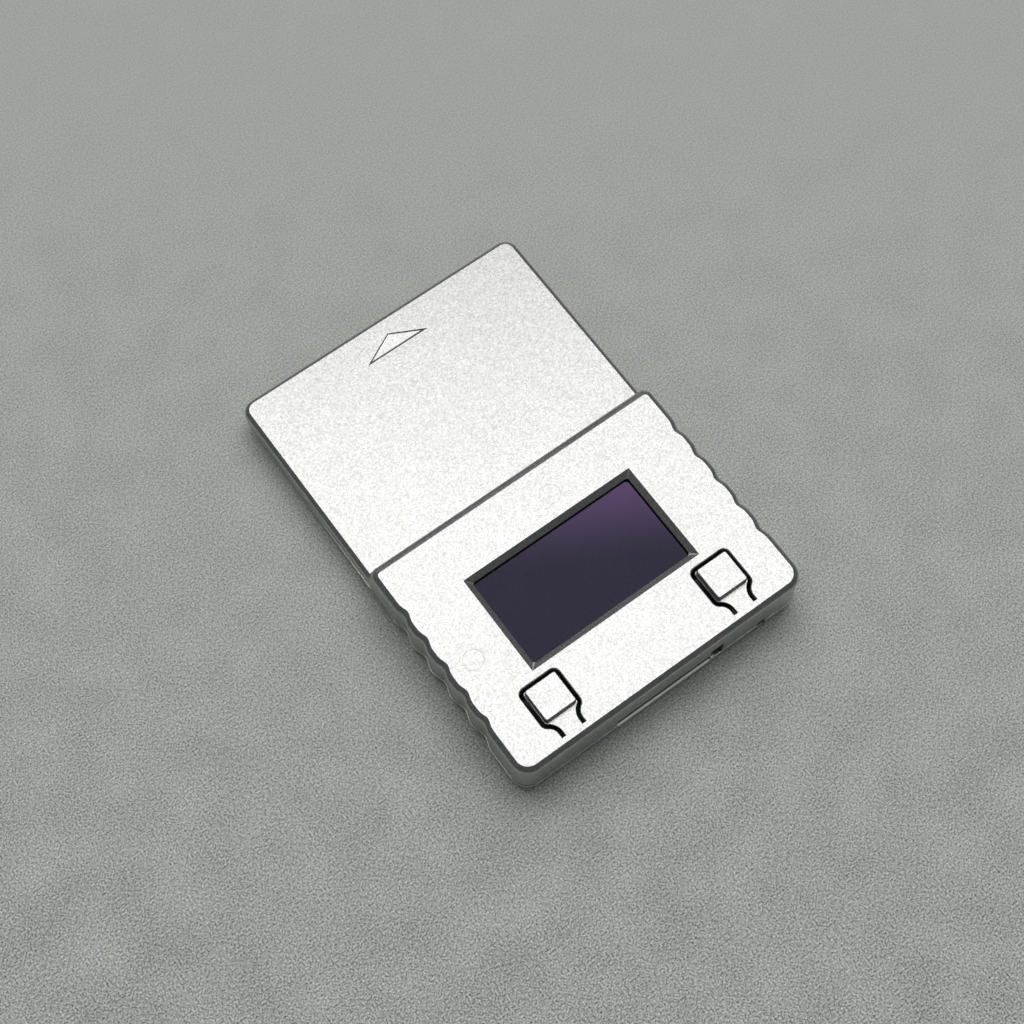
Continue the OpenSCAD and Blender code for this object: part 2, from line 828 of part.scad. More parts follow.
module edge_contacts() {
    color(gold)
        for (k = [0 : 7])
            translate([contact_x(k) - contact_width / 2, board_front_y - contact_length - 0.3,
                board_z - pad_plating])
                cube([contact_width, contact_length, pad_plating]);
}

module display_glass() {
    color(violet)
        translate([-glass_width / 2, glass_rear_y, glass_z])
            cube([glass_width, glass_length, glass_thickness]);
}

module display_cap() {
    color(violet)
        translate([-glass_width / 2, glass_rear_y, cap_z])
            cube([glass_width, cap_length, cap_thickness]);
}

module display_polariser() {
    color(violet)
        translate([-glass_width / 2 + 0.3, glass_rear_y + 0.3, glass_top])
            cube([glass_width - 0.6, cap_length - 0.3, polariser_thickness]);
}

module display_driver() {
    color(chip_black)
        translate([-driver_width / 2, glass_rear_y + cap_length + driver_length / 2,
            glass_z - driver_height])
            cube([driver_width, driver_length, driver_height]);
}

// Flex tail: bonded under the glass, bent down past its edge and back onto the board
module display_flex() {
    t = flex_thickness;
    r = flex_bend;
    bond_y = glass_front_y - flex_bond;
    bend_y = glass_front_y - r;
    top_z = glass_z - r - t;
    low_z = board_top + t + r;
    color([0.55, 0.35, 0.12])
        rotate([90, 0, 90])
            translate([0, 0, -flex_width / 2])
                linear_extrude(flex_width)
                    polygon(concat(
                        [[bond_y, glass_z - t], [bond_y, glass_z]],
                        [for (i = [0 : 6]) let (a = 90 - 15 * i)
                            [bend_y + (r + t) * cos(a), top_z + (r + t) * sin(a)]],
                        [for (i = [0 : 6]) let (a = -15 * i)
                            [bend_y + (r + t) * cos(a), low_z + (r + t) * sin(a)]],
                        [[bond_y - flex_bond, board_top], [bond_y - flex_bond, board_top + t]],
                        [for (i = [6 : -1 : 0]) let (a = -15 * i)
                            [bend_y + r * cos(a), low_z + r * sin(a)]],
                        [for (i = [6 : -1 : 0]) let (a = 90 - 15 * i)
                            [bend_y + r * cos(a), top_z + r * sin(a)]]
                    ));
}

// Foam block between the board and the display
module display_cushion() {
    color([0.12, 0.12, 0.13])
        translate([-cushion_width / 2, glass_rear_y + cushion_from_rear, board_top])
            cube([cushion_width, cushion_length, cap_z - board_top]);
}

module switch_body(side) {
    color(chip_black)
        translate([side * button_offset, button_y, board_top])
            difference() {
                translate([-switch_side / 2, -switch_side / 2, 0])
                    cube([switch_side, switch_side, switch_height]);
                translate([0, 0, flange_z - board_top - plunger_travel - 0.15])
                    cylinder(d = flange_diameter + 2 * plunger_clearance + 0.06, h = switch_height);
            }
}

module switch_cover(side) {
    color(steel)
        translate([side * button_offset, button_y, switch_top])
            difference() {
                translate([-switch_side / 2, -switch_side / 2, 0])
                    cube([switch_side, switch_side, switch_cover]);
                translate([0, 0, -cut])
                    cylinder(d = plunger_diameter + 2 * plunger_clearance, h = 1);
            }
}

module switch_plunger(side) {
    color(chip_black)
        translate([side * button_offset, button_y, 0])
            union() {
                translate([0, 0, flange_z])
                    cylinder(d = flange_diameter, h = flange_thickness);
                translate([0, 0, flange_z])
                    cylinder(d = plunger_diameter, h = plunger_tip - flange_z);
            }
}

module left_switch_body() {
    switch_body(-1);
}

module left_switch_cover() {
    switch_cover(-1);
}

module left_switch_plunger() {
    switch_plunger(-1);
}

module right_switch_body() {
    switch_body(1);
}

module right_switch_cover() {
    switch_cover(1);
}

module right_switch_plunger() {
    switch_plunger(1);
}

// Plastic base of the card reader, with a low tray for the card
module reader_base() {
    s = reader_sheet;
    color(chip_black)
        difference() {
            translate([reader_left + s, reader_y + 0.3, board_top])
                cube([reader_width - 2 * s, reader_length - 0.3, reader_height - s]);
            translate([reader_left + reader_wall, reader_y - 1, board_top + 0.4])
                cube([reader_width - 2 * reader_wall, reader_length - 0.8, reader_height]);
        }
}

// Steel cover: a folded sheet over the top and both sides
module reader_cover() {
    s = reader_sheet;
    color(steel)
        difference() {
            translate([reader_left, reader_y, board_top])
                cube([reader_width, reader_length, reader_height]);
            translate([reader_left + s, reader_y - 1, board_top - 1])
                cube([reader_width - 2 * s, reader_length + 2, reader_height - s + 1]);
            // Spring tongues lanced in the sheet
            for (x = [reader_width / 4, 3 * reader_width / 4])
                translate([reader_left + x - lance_width / 2, reader_y + reader_length / 2,
                    reader_top - 1])
                    difference() {
                        cube([lance_width, lance_length, 2]);
                        translate([lance_gap, -1, -1])
                            cube([lance_width - 2 * lance_gap, lance_length + 1 - lance_gap, 4]);
                    }
        }
}

// Eight contact springs on the reader's base
module reader_contacts() {
    color(gold)
        for (k = [0 : 7])
            translate([
                reader_left + reader_width / 2 + (k - 3.5) * spring_pitch - spring_width / 2,
                reader_y + reader_length - 2.9 - spring_length, board_top + 0.4])
                union() {
                    cube([spring_width, spring_length, 0.2]);
                    cube([spring_width, 0.8, 0.45]);
                }
}

// Flat chip with a bevelled corner mark and a row of side pads
module flat_chip(x, y, w, l, h) {
    translate([x, y, board_top])
        difference() {
            translate([-w / 2, -l / 2, 0])
                cube([w, l, h]);
            translate([-w / 2 + 1.3 * chip_mark, l / 2 - 1.3 * chip_mark, h - 0.08])
                cylinder(d = chip_mark, h = 1);
        }
}

module controller_chip() {
    color(chip_black)
        flat_chip(-controller_offset, step_foot_y + chips_from_step, controller_side,
            controller_side, chip_height);
}

module memory_chip() {
    color(chip_black)
        flat_chip(memory_offset, step_foot_y + chips_from_step, memory_width, memory_length,
            chip_height - 0.1);
}

module logic_chip() {
    color(chip_black)
        flat_chip(logic_offset, step_foot_y + chips_from_step, logic_side, logic_side,
            chip_height);
}

module clock_crystal() {
    color(steel)
        translate([-1 - crystal_width / 2, step_foot_y + resistors_from_step + 1
            - crystal_length / 2, board_top])
            cube([crystal_width, crystal_length, crystal_height]);
}

module voltage_regulator() {
    color(chip_black)
        translate([board_half - regulator_to_side, step_foot_y + resistors_from_step + 0.4,
            board_top])
            union() {
                translate([-regulator_width / 2, -regulator_length / 2, 0.1])
                    cube([regulator_width, regulator_length, regulator_height]);
                for (x = [-regulator_width / 3, 0, regulator_width / 3])
                    translate([x - 0.2, -regulator_length / 2 - 0.6, 0])
                        cube([0.4, regulator_length + 1.2, 0.15]);
            }
}

// Middle of small part i, counted from the left: two groups of three
function small_x(i) = i < 3 ?
    small_to_left - board_half + i * small_pitch :
    board_half - small_to_right + (i - 5) * small_pitch;

// Small chip parts: body with two raised end caps
module small_part(x, y, h) {
    translate([x, y, board_top])
        union() {
            translate([-small_length / 2, -small_width / 2, 0])
                cube([small_length, small_width, h]);
            for (s = [-1, 1])
                translate([s * (small_length / 2 - 0.15) - 0.2, -small_width / 2 - 0.03, 0])
                    cube([0.4, small_width + 0.06, h + 0.03]);
        }
}

module capacitors() {
    color([0.62, 0.48, 0.32])
        for (i = [0 : 5])
            small_part(small_x(i), step_foot_y + capacitors_from_step, capacitor_height);
}

module resistors() {
    color(chip_black)
        for (i = [0 : 5])
            small_part(small_x(i), step_foot_y + resistors_from_step - (i > 2 ? resistors_back : 0),
                resistor_height);
}

// Low-head screw with a cross recess, head in the lower shell and shank in the boss
module screw(side) {
    color(steel)
        translate([side * screw_offset, screw_y, seat_z])
            difference() {
                union() {
                    translate([0, 0, -screw_head_height])
                        cylinder(d = screw_head, h = screw_head_height);
                    cylinder(d = screw_shank, h = screw_length);
                }
                for (r = [0, 90])
                    rotate([0, 0, r])
                        translate([-1, -0.2, -screw_head_height - cut])
                            cube([2, 0.4, 0.3 + cut]);
            }
}

module left_screw() {
    screw(-1);
}

module right_screw() {
    screw(1);
}

upper_shell();
lower_shell();
left_button();
right_button();
main_board();
edge_contacts();
display_glass();
display_cap();
display_polariser();
display_driver();
display_flex();
display_cushion();
left_switch_body();
left_switch_cover();
left_switch_plunger();
right_switch_body();
right_switch_cover();
right_switch_plunger();
reader_base();
reader_cover();
reader_contacts();
controller_chip();
memory_chip();
logic_chip();
clock_crystal();
voltage_regulator();
capacitors();
resistors();
left_screw();
right_screw();
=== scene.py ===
"""Console memory card with a small display, two flexing buttons and a card slot, on a pale
floor."""
import math

import bmesh
import bpy
import numpy as np
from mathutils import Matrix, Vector


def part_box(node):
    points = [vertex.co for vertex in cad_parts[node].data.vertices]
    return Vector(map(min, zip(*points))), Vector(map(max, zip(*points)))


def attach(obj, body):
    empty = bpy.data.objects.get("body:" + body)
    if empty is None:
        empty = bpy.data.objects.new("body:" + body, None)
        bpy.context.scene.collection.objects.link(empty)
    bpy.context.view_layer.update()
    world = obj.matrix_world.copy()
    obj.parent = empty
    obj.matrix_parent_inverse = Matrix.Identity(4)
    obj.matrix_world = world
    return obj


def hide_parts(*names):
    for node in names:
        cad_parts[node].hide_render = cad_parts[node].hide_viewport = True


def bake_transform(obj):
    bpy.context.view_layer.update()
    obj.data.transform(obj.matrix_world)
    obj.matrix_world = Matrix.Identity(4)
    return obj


bl_info = {
    "name": "Console memory card",
    "version": (1, 0, 0),
    "blender": (4, 5, 0),
    "location": "View3D > Sidebar > Memory card",
    "description": "Builds a console memory card around its solids and sets its stage",
    "category": "Object",
}

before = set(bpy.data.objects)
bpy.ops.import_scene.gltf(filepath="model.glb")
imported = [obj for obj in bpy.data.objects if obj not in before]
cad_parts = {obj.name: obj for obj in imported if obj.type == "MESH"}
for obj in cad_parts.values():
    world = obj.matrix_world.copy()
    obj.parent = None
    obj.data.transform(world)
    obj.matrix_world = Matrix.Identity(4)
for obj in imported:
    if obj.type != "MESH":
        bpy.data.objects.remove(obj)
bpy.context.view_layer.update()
UPPER_LOW, UPPER_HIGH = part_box("upper_shell")
BOARD_LOW, BOARD_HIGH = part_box("main_board")
FACE_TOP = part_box("display_polariser")[1].z
GLASS_LOW, GLASS_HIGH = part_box("display_glass")
CONTACTS_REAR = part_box("edge_contacts")[0].y
REAR = UPPER_LOW.y
FRONT = UPPER_HIGH.y
MM = 0.001
OVER = 1 * MM  # how far a thick cutter reaches past what it cuts
PAST = 0.3 * MM  # the same for a thin cutter, and for a post that ends in a roof
HAIR = 0.02 * MM  # keeps the faces of two pieces out of one plane
LEAST_RADIUS = 0.05 * MM  # of a corner whose outline is inset


def length(name, description, default_mm):
    """A length property with its default given in millimetres."""
    return bpy.props.FloatProperty(
        name=name, description=description, default=default_mm * MM,
        min=0.0, unit="LENGTH", subtype="DISTANCE", precision=5)


def colour(name, description, default):
    """A linear colour property."""
    return bpy.props.FloatVectorProperty(
        name=name, description=description, default=default, size=3,
        min=0.0, max=1.0, subtype="COLOR")


class CardShape(bpy.types.PropertyGroup):
    """Sizes of the two shells, the window and the buttons."""

    grip_width: length("Grip width", "Width of the raised grip", 42.6)
    tongue_width: length("Insertion width", "Width of the thin insertion part", 42.4)
    grip_height: length("Grip height", "Height of the grip's flat top", 8.0)
    tongue_height: length("Insertion height", "Height of the insertion part's top", 4.5)
    parting_height: length("Parting height", "Height of the plane between the shells", 2.0)
    grip_length: length("Grip length", "From the rear wall to the step's top edge", 31.2)
    step_run: length("Step run", "From the step's top edge to its foot", 1.64)
    step_ease: length("Step ease", "Part of the step's run that doesn't lean", 0.5)
    rear_corner: length("Rear corner", "Radius of the grip's rear corners", 2.4)
    step_corner: length("Step corner", "Radius of the grip's corners at the step", 1.2)
    front_corner: length("Front corner", "Radius of the insertion part's corners", 1.8)
    edge_radius: length("Top edge", "Run of the grip's eased top edge", 0.74)
    tongue_edge: length("Insertion edge", "Run of the insertion part's eased edge", 0.62)
    wall: length("Wall", "Inner wall position behind the outer skin", 1.3)
    step_wall: length("Step wall", "Thickness of the sloped step", 1.4)
    roof: length("Roof", "Thickness of the grip's roof", 1.2)
    tongue_roof: length("Insertion roof", "Thickness of the insertion part's roof", 1.0)
    floor: length("Floor", "Thickness of the lower shell's floor", 1.0)
    rim_step: length("Rim step", "How far the lower rim stands out", 0.12)
    rim_height: length("Rim height", "Height of the lower rim", 0.6)
    foot_radius: length("Foot", "Radius of the lower shell's rolled foot", 0.8)
    tray_inset: length("Tray inset", "How far the lower shell's sides stand in", 0.1)
    nose_length: length("Nose length", "Length of the narrower nose", 9.7)
    nose_step: length("Nose step", "How far the nose stands in", 0.9)
    wave_pitch: length("Wave pitch", "Distance between finger waves", 4.1)
    wave_depth: length("Wave depth", "Depth of the waves at the parting plane", 0.5)
    wave_depth_top: length("Upper wave depth", "Depth of the waves at the top edge", 0.34)
    wave_from_rear: length("First wave", "From the rear wall to the first wave", 8.45)
    wave_narrowing: bpy.props.FloatProperty(
        name="Wave narrowing", description="Added to the waves' power at the top edge",
        default=1.2, min=0.0)
    wave_count: bpy.props.IntProperty(
        name="Waves", description="Finger waves on each side", default=5, min=1)
    window_width: length("Window width", "Width at the top face", 25.1)
    window_length: length("Window length", "Length at the top face", 14.05)
    window_bevel: length("Window bevel", "How far each bevel leans in", 0.76)
    window_band: length("Window band", "Upright band between bevel and display", 0.25)
    window_from_rear: length("Window place", "From the rear wall to its middle", 17.1)
    window_fillet: length("Window fillet", "Radius where two bevels meet, at the foot", 0.35)
    display_corner: length("Display corner", "Radius of the display's front right corner", 0.5)
    # Painted shadow: width of the black shade painted on the display at the window's front and
    # right foot
    gap_shadow: length("Display gap", "Black gap at the front and right of the window", 0.2)
    glass_clearance: length("Glass clearance", "Space round the display glass", 0.25)
    button_offset: length("Button offset", "From the middle line to a button", 12.85)
    button_from_rear: length("Button place", "From the rear wall to a button", 6.15)
    pad_side: length("Pad side", "Side of the raised pad at its top", 4.46)
    pad_rise: length("Pad rise", "Height of the pad above the grip", 0.95)
    pad_draft: length("Pad draft", "How far the pad's walls lean out", 0.07)
    pad_corner: length("Pad corner", "Radius of the pad's corners at its top", 0.33)
    pad_ledge: length("Pad ledge", "Width of the ledge round the pad", 0.08)
    key_slot: length("Slot", "Width of the slot round a button", 0.46)
    key_corner: length("Tongue corner", "Corner radius of the tongue", 0.4)
    neck_half: length("Neck", "Half width of the neck that flexes", 1.22)
    neck_curve: length("Neck curve", "Radius from the tongue to the neck", 2.05)
    key_reach: length("Reach", "From the pad's middle to the neck's root", 4.76)
    key_thickness: length("Tongue thickness", "Thickness of the tongue", 0.9)
    key_draft: length("Tongue draft", "How far the tongue's sides lean in below", 0.3)
    key_edge: length("Tongue edge", "Run of the tongue's eased top edge", 0.06)
    pad_edge: length("Pad edge", "Run of the pad's eased top edge", 0.11)
    blend_length: length("Neck length", "Part of the tongue that bends", 1.6)
    lip: length("Lip", "Rounding at the edges of the slots", 0.17)
    post_radius: length("Post", "Radius of the post below a pad", 1.0)
    screw_offset: length("Screw offset", "From the middle line to a screw", 17.4)
    screw_from_rear: length("Screw place", "From the rear wall to a screw", 15.3)
    boss_radius: length("Boss", "Radius of the screw bosses", 2.2)
    screw_recess: length("Screw recess", "Radius of the recess for a screw's head", 1.9)
    recess_depth: length("Recess depth", "Depth of the recess for a screw's head", 0.65)
    screw_hole: length("Screw hole", "Radius of the hole for a screw", 1.25)
    pin_radius: length("Pin mark", "Radius of the faint rings on the roof", 1.3)
    mouth_left: bpy.props.FloatProperty(
        name="Mouth left", description="Left end of the card mouth", default=-7.3 * MM,
        unit="LENGTH", subtype="DISTANCE", precision=5)
    mouth_right: length("Mouth right", "Right end of the card mouth", 8.8)
    mouth_height: length("Mouth height", "Above the parting plane, behind the skin", 2.3)
    mouth_skin: length("Mouth skin", "Thickness of the skin above the opening", 0.4)
    opening_height: length("Opening height", "Height of the opening for the card", 1.6)
    notch_width: length("Notch width", "Width of the notch beside the reader", 1.9)
    notch_height: length("Notch height", "Above the parting plane", 2.9)
    mouth_lip: length("Mouth lip", "Thickness of the lip below the mouth", 0.45)
    slit_left: length("Slit left", "Left end of the small slit in the rear", 14.2)
    slit_right: length("Slit right", "Right end of the small slit in the rear", 15.5)
    slit_rise: length("Slit rise", "Height of the slit above the parting plane", 0.8)
    slit_drop: length("Slit drop", "Depth of the slit below the parting plane", 0.55)
    slit_depth: length("Slit depth", "How far the slit goes into the lower rim", 0.25)
    arrow_half: length("Arrow half", "Half width of the arrow recess", 4.7)
    arrow_base: length("Arrow base", "From the front to the recess's straight edge", 4.95)
    arrow_tip: length("Arrow tip", "From the front to the recess's tip", 2.55)
    arrow_lean: length("Arrow lean", "How far the wall at the straight edge leans", 0.34)
    arrow_depth: length("Arrow depth", "Depth of the recess at the straight edge", 0.22)
    label_half: length("Label half", "Half width of the label recess", 13.0)
    label_start: length("Label start", "From the rear wall to the label recess", 22.0)
    label_end: length("Label end", "From the rear wall to the recess's far edge", 42.0)
    label_depth: length("Label depth", "Depth of the label recess", 0.15)
    comb_pitch: length("Comb pitch", "Distance between two contact gaps", 3.4)
    comb_space: length("Comb space", "Added between the groups of gaps", 1.6)
    comb_half: length("Comb half", "Half width of a contact gap", 1.4)


class CardFinish(bpy.types.PropertyGroup):
    """Colours of the visible finishes."""

    silver: colour("Silver paint", "Metallic paint of both shells", (0.46, 0.46, 0.455))
    violet: colour("Display face", "Dark face of the display", (0.018, 0.014, 0.042))
    # Painted reflection: a violet reflection on the display, painted into its colour towards one
    # corner
    painted_reflection: colour("Display tint", "Violet tint towards one corner", (0.125, 0.066, 0.185))
    board: colour("Board", "Solder mask of the board", (0.020, 0.095, 0.050))
    floor: colour("Floor", "Pale floor under the card", (0.470, 0.481, 0.450))


class CardStage(bpy.types.PropertyGroup):
    """Camera and lamps."""

    lens: bpy.props.FloatProperty(
        name="Lens", description="Focal length on a 36 mm wide sensor", default=67.577, min=1.0)
    key_power: bpy.props.FloatProperty(
        name="Key power", description="Power of the bright lamp near the zenith in watts",
        default=1.80, min=0.0)
    wide_power: bpy.props.FloatProperty(
        name="Wide power", description="Power of the wide lamp behind the card in watts",
        default=3.83, min=0.0)
    room: bpy.props.FloatProperty(
        name="Room light", description="Strength of the even room light", default=0.22, min=0.0)
    room_gloss: bpy.props.FloatProperty(
        name="Room in gloss", description="Strength of the room seen in glossy surfaces",
        default=0.05, min=0.0)


# Fitted camera in the card's frame: where it stands and which way it looks
CAMERA_PLACE = np.array([-54.837, -74.207, 225.828]) * MM
CAMERA_AIM = np.array([0.22240939, 0.30430757, -0.92624565])
CAMERA_REACH = 0.24
SENSOR_WIDTH = 36.0
# Level direction from the card to both lamps
LAMP_WAY = (0.55, 0.835)
# Name, width, length, property with the power, elevation in degrees, distance
LAMPS = (("key_lamp", 0.9, 0.44, "key_power", 75.5, 0.85),
         ("wide_lamp", 1.0, 1.0, "wide_power", 58.0, 0.9))
FLOOR_REACH = 3.0
ROOM_COLOUR = (0.92, 0.96, 1.0, 1.0)
# Where the painted violet reflection on the display grows, per metre, and the level way from the
# viewer
REFLECTION_WAY = (34.0, 62.0, 0.0)
VIEW_WAY = (0.545, 0.749, 0.0)
# Middle of the faint ring that isn't over a screw
PIN_MARK = (2.65 * MM, -3.5 * MM)


# Solids as (points, faces) pairs, worked out as whole arrays


def loft(rings):
    """Closed solid through M rings of N points: quad (i, j) joins ring i, points j and j + 1,
    to the same points of ring i + 1, and the first and last rings are capped."""
    m, n = rings.shape[:2]
    i, j = np.meshgrid(np.arange(m - 1), np.arange(n), indexing="ij")
    k = (j + 1) % n
    quads = np.stack([i * n + j, i * n + k, (i + 1) * n + k, (i + 1) * n + j], -1)
    caps = [list(range(n))[::-1], list(range((m - 1) * n, m * n))]
    return rings.reshape(-1, 3), quads.reshape(-1, 4).tolist() + caps


def raise_outlines(x, y, z):
    """Rings from outlines x and y, one row per height, at the heights z."""
    z = np.broadcast_to(np.reshape(z, (-1, 1)), x.shape)
    return np.stack([x, y, z], -1)


def block(x0, x1, y0, y1, z0, z1):
    """Box between two corners."""
    x = np.array([[x0, x1, x1, x0]] * 2)
    y = np.array([[y0, y0, y1, y1]] * 2)
    return loft(raise_outlines(x, y, [z0, z1]))


def pushed(y, z, ends):
    """Side profile (y, z) pushed across from one x to the other."""
    return loft(np.stack([np.stack([np.full(len(y), x), y, z], -1) for x in ends]))


def post(x, y, radius, z0, z1, points=64):
    """Upright cylinder: centre plus radius times (cos a, sin a)."""
    a = np.linspace(0, 2 * np.pi, points, endpoint=False)
    xs, ys = x + radius * np.cos(a), y + radius * np.sin(a)
    return loft(raise_outlines(np.stack([xs, xs]), np.stack([ys, ys]), [z0, z1]))


def together(solids):
    """Several solids that don't touch, as one."""
    points, faces, start = [], [], 0
    for p, f in solids:
        points.append(p)
        faces += [[v + start for v in face] for face in f]
        start += len(p)
    return np.concatenate(points), faces


def rounding(radius, steps, turn=90.0):
    """Round as a row of rises and a row of runs: radius * sin a and radius * (1 - cos a)."""
    a = np.radians(np.linspace(0, turn, steps + 1))
    return radius * np.sin(a), radius * (1 - np.cos(a))


def eased(reach, steps, turn=60.0):
    """Edge that ends in a crease: R sin a and R (1 - cos a), where R is such that the run at
    the last angle is the reach."""
    return rounding(reach / (1 - math.cos(math.radians(turn))), steps, turn)


def sloped(reach, steps=7):
    """Edge that leaves the wall in an arc of 60 degrees and goes on as a straight slope of 30
    degrees to the top: R sin a and R (1 - cos a) with R (1 - cos 60) = 0.45 reach, then the
    rest of the reach at a rise of tan 30."""
    rise, run = rounding(0.9 * reach, steps, 60.0)
    rest = np.linspace(0, 0.55 * reach, 4)[1:]
    return (np.concatenate([rise, rise[-1] + rest * math.tan(math.radians(30))]),
            np.concatenate([run, run[-1] + rest]))


def rectangle(half_x, half_y, radius, x, y, steps=6):
    """Rounded rectangles, one per row of the given half sizes: four quarter circles in turn."""
    a = np.radians(np.linspace(0, 90, steps + 1))[None]
    sx, sy = (1, -1, -1, 1), (1, 1, -1, -1)
    xs, ys = [], []
    for k in range(4):
        turn = a + k * np.pi / 2
        xs.append(x + sx[k] * (half_x - radius)[:, None] + radius[:, None] * np.cos(turn))
        ys.append(y + sy[k] * (half_y - radius)[:, None] + radius[:, None] * np.sin(turn))
    return np.concatenate(xs, 1), np.concatenate(ys, 1)


# Outline of the card


def shell_outline(s, half, front, rear_r, front_r, inset, depth=None, narrow=None):
    """Outlines, one per row of inset: a quarter circle at the rear corner, the side, a quarter
    circle at the front corner, then the same mirrored. The side's waves are
    depth * ((1 + cos(2 pi (y - first) / pitch)) / 2) ** narrow."""
    inset, front = np.reshape(inset, (-1, 1)), np.reshape(front, (-1, 1))
    rr = np.maximum(rear_r - inset, LEAST_RADIUS)
    fr = np.maximum(front_r - inset, LEAST_RADIUS)
    a = np.radians(np.linspace(-90, 0, 19))[None]
    xs = [half - inset - rr + rr * np.cos(a)]
    ys = [REAR + inset + rr + rr * np.sin(a)]
    if depth is not None:
        first = REAR + s.wave_from_rear
        turns = np.linspace(-0.5, s.wave_count - 0.5, 36 * s.wave_count + 1)[None]
        cosine = (1 + np.cos(2 * np.pi * turns)) / 2
        groove = np.reshape(depth, (-1, 1)) * cosine ** np.reshape(narrow, (-1, 1))
        xs.append(half - inset - groove)
        ys.append(np.broadcast_to(first + turns * s.wave_pitch, groove.shape))
    a = np.radians(np.linspace(0, 90, 17))[None]
    xs.append(half - inset - fr + fr * np.cos(a))
    ys.append(np.broadcast_to(front - fr + fr * np.sin(a), (len(inset), a.size)))
    x, y = np.concatenate(xs, 1), np.concatenate(ys, 1)
    return np.concatenate([x, -x[:, ::-1]], 1), np.concatenate([y, y[:, ::-1]], 1)


def step_lean(s):
    """How far the sloped step goes back for each metre that it rises."""
    return (s.step_run - s.step_ease) / (s.grip_height - s.tongue_height)


def grip_solid(s):
    """Raised grip: waved sides whose grooves get shallower and narrower with height, a front
    that leans back, and an eased top edge."""
    foot = REAR + s.grip_length + s.step_run
    wave_top = s.grip_height - s.edge_radius
    rise, run = sloped(s.edge_radius)
    low = s.grip_height - rise[-1]
    z = np.concatenate([np.linspace(s.parting_height, low, 11), low + rise[1:]])
    inset = np.concatenate([np.zeros(11), run[1:]])
    t = np.clip((z - s.parting_height) / (wave_top - s.parting_height), 0, 1)
    front = foot - np.maximum(z - s.tongue_height, 0) * step_lean(s) - inset
    depth = s.wave_depth + (s.wave_depth_top - s.wave_depth) * t
    x, y = shell_outline(
        s, s.grip_width / 2, front, s.rear_corner, s.step_corner, inset, depth,
        1 + s.wave_narrowing * t)
    return loft(raise_outlines(x, y, z))


def tongue_solid(s):
    """Insertion part: straight sides, rounded corners and an eased top edge. Its rear end
    is moved forward into the grip."""
    rise, run = sloped(s.tongue_edge)
    z = np.concatenate([[s.parting_height], s.tongue_height - rise[-1] + rise])
    inset = np.concatenate([[0.0], run])
    rear_corner, into_grip = 1 * MM, 2 * MM
    x, y = shell_outline(s, s.tongue_width / 2, FRONT - inset, rear_corner, s.front_corner,
                         inset)
    y = np.where(y < REAR + s.grip_length / 2, y + s.grip_length - into_grip, y)
    return loft(raise_outlines(x, y, z))


def inner_half(s):
    """Half width of the space between the side walls."""
    return s.tongue_width / 2 - s.wall


def hollow_solid(s):
    """Inside of the upper shell: a stepped side profile pushed across the card."""
    half, rear, front = inner_half(s), REAR + s.wall, FRONT - s.wall
    lean = step_lean(s)
    roof, low_roof = s.grip_height - s.roof, s.tongue_height - s.tongue_roof
    foot = REAR + s.grip_length + s.step_run - s.step_wall
    base = s.parting_height - OVER
    y = np.array([rear, rear, foot - (roof - s.tongue_height) * lean,
                  foot - (low_roof - s.tongue_height) * lean, front, front])
    z = np.array([base, roof, roof, low_roof, low_roof, base])
    return pushed(y, z, (-half, half))


def window_solid(s, face_z):
    """Bevelled window: a short upright band above the display's face, then walls that lean
    out to the top face, with a small round at the rim and a fillet where two bevels meet."""
    lean = s.window_bevel / (s.grip_height - face_z - s.window_band)
    rim = 0.05 * MM
    z = np.array([face_z - 0.2 * MM, face_z + s.window_band, s.grip_height - rim,
                  s.grip_height - 0.3 * rim, s.grip_height, s.grip_height + PAST])
    out = np.array([0, 0, s.window_bevel - rim * lean, s.window_bevel - 0.1 * rim * lean,
                    s.window_bevel + 0.4 * rim, s.window_bevel + 0.4 * rim])
    fillet = s.window_fillet * np.array([1, 1, 0.25, 0.22, 0.2, 0.2])
    x, y = rectangle(s.window_width / 2 - s.window_bevel + out,
                     s.window_length / 2 - s.window_bevel + out,
                     fillet, 0.0, REAR + s.window_from_rear)
    return loft(raise_outlines(x, y, z))


def key_outline(s, grow, reach):
    """Outlines of a button's tongue, one per row of grow: two corner quarter circles, then on
    each side two arcs that meet in a smooth S and end in the neck, which runs to reach."""
    grow = np.reshape(grow, (-1, 1))
    half = s.pad_side / 2 + s.pad_draft + s.pad_ledge
    ax, bx = half - s.key_corner, s.neck_half + s.neck_curve
    bend = ax + 0.05 * MM
    turn = math.acos((bx - ax) / (s.key_corner + s.neck_curve))
    neck = bend + (s.key_corner + s.neck_curve) * math.sin(turn)
    ra, rb = s.key_corner + grow, s.neck_curve - grow
    a = np.radians(np.linspace(90, 0, 13))[None]
    b = np.linspace(0, turn, 13)[None]
    c = np.linspace(turn, 0, 17)[None, 1:]
    end = np.broadcast_to(-reach, grow.shape)
    x = np.concatenate([ax + ra * np.cos(a), ax + ra * np.cos(b), bx - rb * np.cos(c),
                        s.neck_half + grow], 1)
    y = np.concatenate([ax + ra * np.sin(a), -bend - ra * np.sin(b), -neck + rb * np.sin(c),
                        end], 1)
    # Clockwise as listed, so the outline is turned round
    return (np.concatenate([x, -x[:, ::-1]], 1)[:, ::-1],
            np.concatenate([y, y[:, ::-1]], 1)[:, ::-1])


def key_hole(s, side):
    """Opening round a button with a rounded lip."""
    rise, run = rounding(s.lip, 4)
    z = np.concatenate([[s.grip_height - s.roof - PAST], s.grip_height - s.lip + rise,
                        [s.grip_height + PAST]])
    grow = s.key_slot + np.concatenate([[0.0], run, [run[-1]]])
    x, y = key_outline(s, grow, s.key_reach)
    return loft(raise_outlines(
        x + side * s.button_offset, y + REAR + s.button_from_rear, z))


